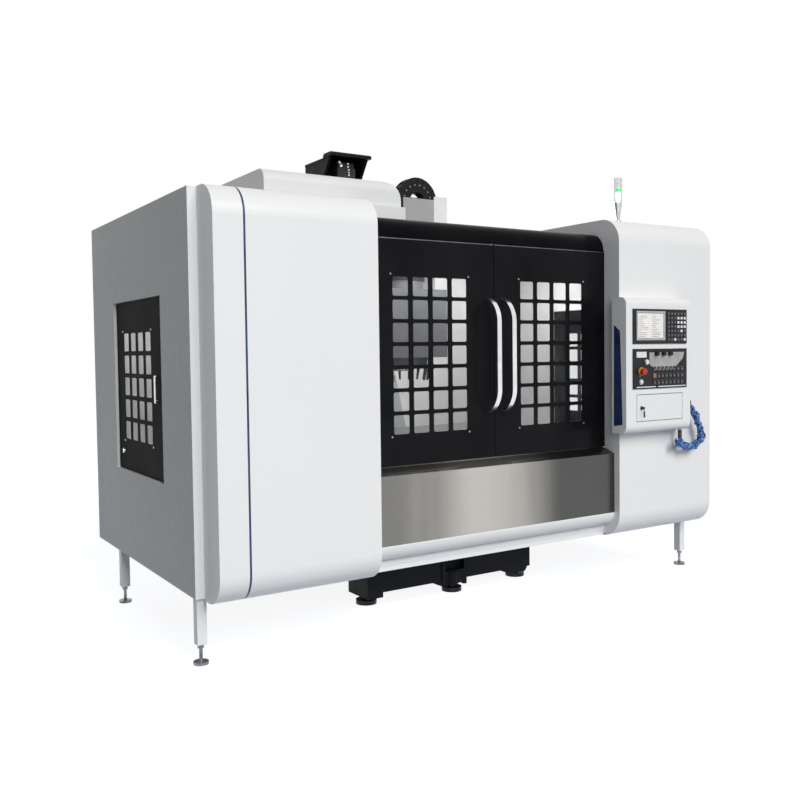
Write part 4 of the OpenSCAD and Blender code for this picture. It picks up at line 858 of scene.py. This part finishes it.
dress(finish("stop_red", (0.42, 0.012, 0.012), (0.58, 0.025, 0.02), (0.25, 0.35), patch=40.0,
             grain=700.0), "emergency_stop")
dress(finish("button_white", (0.72, 0.74, 0.72), (0.84, 0.86, 0.84), (0.2, 0.3), patch=40.0, grain=700.0),
      "start_button", "stop_button")

# Signal lamp: a clear acrylic tube on a polished tapered stem, with a rod of
# light in it whose middle shows green.
dress(finish("lamp_chrome", (0.50, 0.52, 0.52), (0.66, 0.68, 0.68), (0.10, 0.2), patch=30.0, grain=500.0,
             metallic=1.0), "lamp_stem")
lamp_clear, lamp_tree, lamp_shader = fresh("lamp_clear")
lamp_haze = cloud(lamp_tree, coordinates(lamp_tree), 25.0)
lamp_tree.links.new(shades(lamp_tree, lamp_haze, (0.24, 0.28, 0.26), (0.34, 0.38, 0.36)),
                    lamp_shader.inputs["Base Color"])
lamp_tree.links.new(between(lamp_tree, lamp_haze, 0.06, 0.14), lamp_shader.inputs["Roughness"])
lamp_tree.links.new(between(lamp_tree, lamp_haze, 0.24, 0.34), lamp_shader.inputs["Alpha"])
dress(lamp_clear, "lamp_lens")
lens_low, lens_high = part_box("lamp_lens")
lamp_axis = (lens_low + lens_high) / 2


def glow(name, dark, light, colour, level):
    material = finish(name, dark, light, (0.2, 0.3), patch=40.0, grain=500.0)
    shader = material.node_tree.nodes["Principled BSDF"]
    shader.inputs["Emission Color"].default_value = (*colour, 1)
    shader.inputs["Emission Strength"].default_value = level
    return material


rod_white = glow("rod_white", (0.80, 0.82, 0.80), (0.90, 0.92, 0.90), (1.0, 1.0, 1.0), 0.35)
rod_green = glow("rod_green", (0.03, 0.45, 0.14), (0.06, 0.58, 0.20), (0.06, 0.85, 0.28), 0.9)
rod_lit = glow("rod_lit", (0.70, 0.95, 0.80), (0.80, 1.0, 0.88), (0.75, 1.0, 0.86), 1.6)
rod_parts = ((0.02, 0.16, 0.013, 2), (0.16, 0.44, 0.0165, 2), (0.44, 0.56, 0.0205, 1),
             (0.56, 0.93, 0.010, 0))
lens_tall = lens_high.z - lens_low.z
light_rod = bmesh.new()
for low_part, high_part, radius, index in rod_parts:
    start = Vector((lamp_axis.x, lamp_axis.y, lens_low.z + lens_tall * low_part))
    stop = Vector((lamp_axis.x, lamp_axis.y, lens_low.z + lens_tall * high_part))
    tint(bar(light_rod, start, stop, radius, 24, radius * 0.96), index)
make("light_rod", light_rod, (rod_white, rod_green, rod_lit), "machine", bevel=0.0008)

# Control hose: black ribbed conduit that leaves the box's underside, hangs in a
# loop and goes up into an elbow on the cabinet.
hose_black = finish("hose_black", (0.008, 0.008, 0.010), (0.018, 0.018, 0.021), (0.4, 0.55), patch=40.0,
                    grain=600.0)
dress(hose_black, "hose_elbow")
hose_y = -1.335
hose_turns = ((1.386, 1.002), (1.386, 0.975), (1.387, 0.950), (1.394, 0.924), (1.410, 0.903),
              (1.434, 0.888), (1.466, 0.881), (1.500, 0.881), (1.532, 0.889), (1.560, 0.905),
              (1.581, 0.928), (1.592, 0.956), (1.590, 0.985), (1.580, 1.011), (1.563, 1.040),
              (1.540, 1.072), (1.517, 1.104), (1.494, 1.136), (1.471, 1.168))
hose_line = [Vector((x, hose_y, z)) for x, z in hose_turns]
hose_radius = 0.013


def smooth_line(points, steps):
    ends = [points[0] * 2 - points[1], *points, points[-1] * 2 - points[-2]]
    line = []
    for a, b, c, d in zip(ends, ends[1:], ends[2:], ends[3:]):
        for step in range(steps):
            t = step / steps
            line.append(0.5 * (2 * b + (c - a) * t + (2 * a - 5 * b + 4 * c - d) * t * t
                               + (3 * b - a - 3 * c + d) * t ** 3))
    line.append(points[-1])
    return line


def sleeve(shape, line, radius_at, sides, closed=True):
    rings = []
    for number, spot in enumerate(line):
        ahead_of = line[min(number + 1, len(line) - 1)] - line[max(number - 1, 0)]
        ahead_of.normalize()
        side = Vector((ahead_of.z, 0, -ahead_of.x))
        ring = []
        for k in range(sides):
            angle = k * math.tau / sides
            out = side * math.cos(angle) + Vector((0, math.sin(angle), 0))
            ring.append(shape.verts.new(spot + out * radius_at(number, angle)))
        rings.append(ring)
    for one, two in zip(rings, rings[1:]):
        for k in range(sides):
            shape.faces.new((one[k], one[(k + 1) % sides], two[(k + 1) % sides], two[k]))
    if closed:
        shape.faces.new(rings[0])
        shape.faces.new(rings[-1])
    return rings


hose_path = smooth_line(hose_line, 20)
rib = (1.0, 0.985, 0.93, 0.93, 0.985)
hose_shape = bmesh.new()
sleeve(hose_shape, hose_path, lambda number, angle: hose_radius * rib[number % len(rib)], 18)
hose = make("ribbed_hose", hose_shape, (hose_black,), "machine")
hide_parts("control_hose")

# Wrap: torn blue film from the packing that still clings round the hose, drawn
# tight in some places and standing off in ragged folds in others.
film_blue, film_tree, film_shader = fresh("film_blue")
film_where = coordinates(film_tree)
film_folds = cloud(film_tree, film_where, 55.0, 5.0)
film_tree.links.new(shades(film_tree, film_folds, (0.006, 0.022, 0.15), (0.10, 0.30, 0.68), 0.36, 0.66),
                    film_shader.inputs["Base Color"])
film_tree.links.new(between(film_tree, film_folds, 0.18, 0.4), film_shader.inputs["Roughness"])
film_tree.links.new(relief(film_tree, film_folds, 0.6, 0.004), film_shader.inputs["Normal"])
film_thin = cloud(film_tree, film_where, 30.0)
film_tree.links.new(between(film_tree, film_thin, 0.72, 1.0), film_shader.inputs["Alpha"])
film_shape = bmesh.new()
film_path = hose_path[48:352]
film_sides = 26


def film_radius(number, angle):
    crease = noise.noise(Vector((number * 0.13, math.cos(angle) * 1.6, math.sin(angle) * 1.6)))
    tatter = noise.noise(Vector((number * 0.5, math.cos(angle) * 3.4 + 7, math.sin(angle) * 3.4)))
    flap = max(0.0, noise.noise(Vector((number * 0.045 + 3, math.cos(angle), math.sin(angle) + 5))))
    ends = min(1.0, number / 12, (len(film_path) - 1 - number) / 12)
    return hose_radius + 0.0012 + ends * (0.0034 + 0.0032 * crease + 0.0026 * tatter + 0.022 * flap)


film_rings = sleeve(film_shape, film_path, film_radius, film_sides, closed=False)
for number in range(len(film_rings) - 1):
    for k in range(film_sides):
        torn = noise.noise(Vector((number * 0.09, k * 0.55, 2.7)))
        near_end = min(number, len(film_rings) - 2 - number)
        if torn > 0.42 or (near_end < 14 and torn > -0.25 + near_end * 0.04):
            one, two = film_rings[number], film_rings[number + 1]
            after = (k + 1) % film_sides
            film_shape.faces.remove(film_shape.faces.get((one[k], one[after], two[after], two[k])))
bmesh.ops.delete(film_shape, geom=[v for v in film_shape.verts if not v.link_faces], context="VERTS")
# the film's loose end, crumpled beside the hose where it leaves the box
tail = []
tail_rows, tail_columns = 14, 12
for row in range(tail_rows + 1):
    down = row / tail_rows
    tail.append([])
    for column in range(tail_columns + 1):
        away = column / tail_columns
        rumple = noise.noise(Vector((row * 0.55, column * 0.45, 1.3)))
        tail[row].append(film_shape.verts.new((
            1.384 - 0.066 * away - 0.008 * rumple + 0.016 * down,
            hose_y - 0.012 + 0.020 * noise.noise(Vector((row * 0.4, column * 0.5, 8.1))),
            0.952 - 0.058 * down - 0.010 * away + 0.012 * rumple)))
for row in range(tail_rows):
    one, two = tail[row], tail[row + 1]
    for column in range(tail_columns):
        ragged = noise.noise(Vector((row * 0.7, column * 0.8, 4.4)))
        rim = min(row, tail_rows - 1 - row, tail_columns - 1 - column)
        if rim > 1 or ragged < 0.05 + 0.12 * rim:
            film_shape.faces.new((one[column], one[column + 1], two[column + 1], two[column]))
bmesh.ops.delete(film_shape, geom=[v for v in film_shape.verts if not v.link_faces], context="VERTS")
film = make("hose_film", film_shape, (film_blue,), "machine")
thick = film.modifiers.new("film_gauge", "SOLIDIFY")
thick.thickness = 0.0003
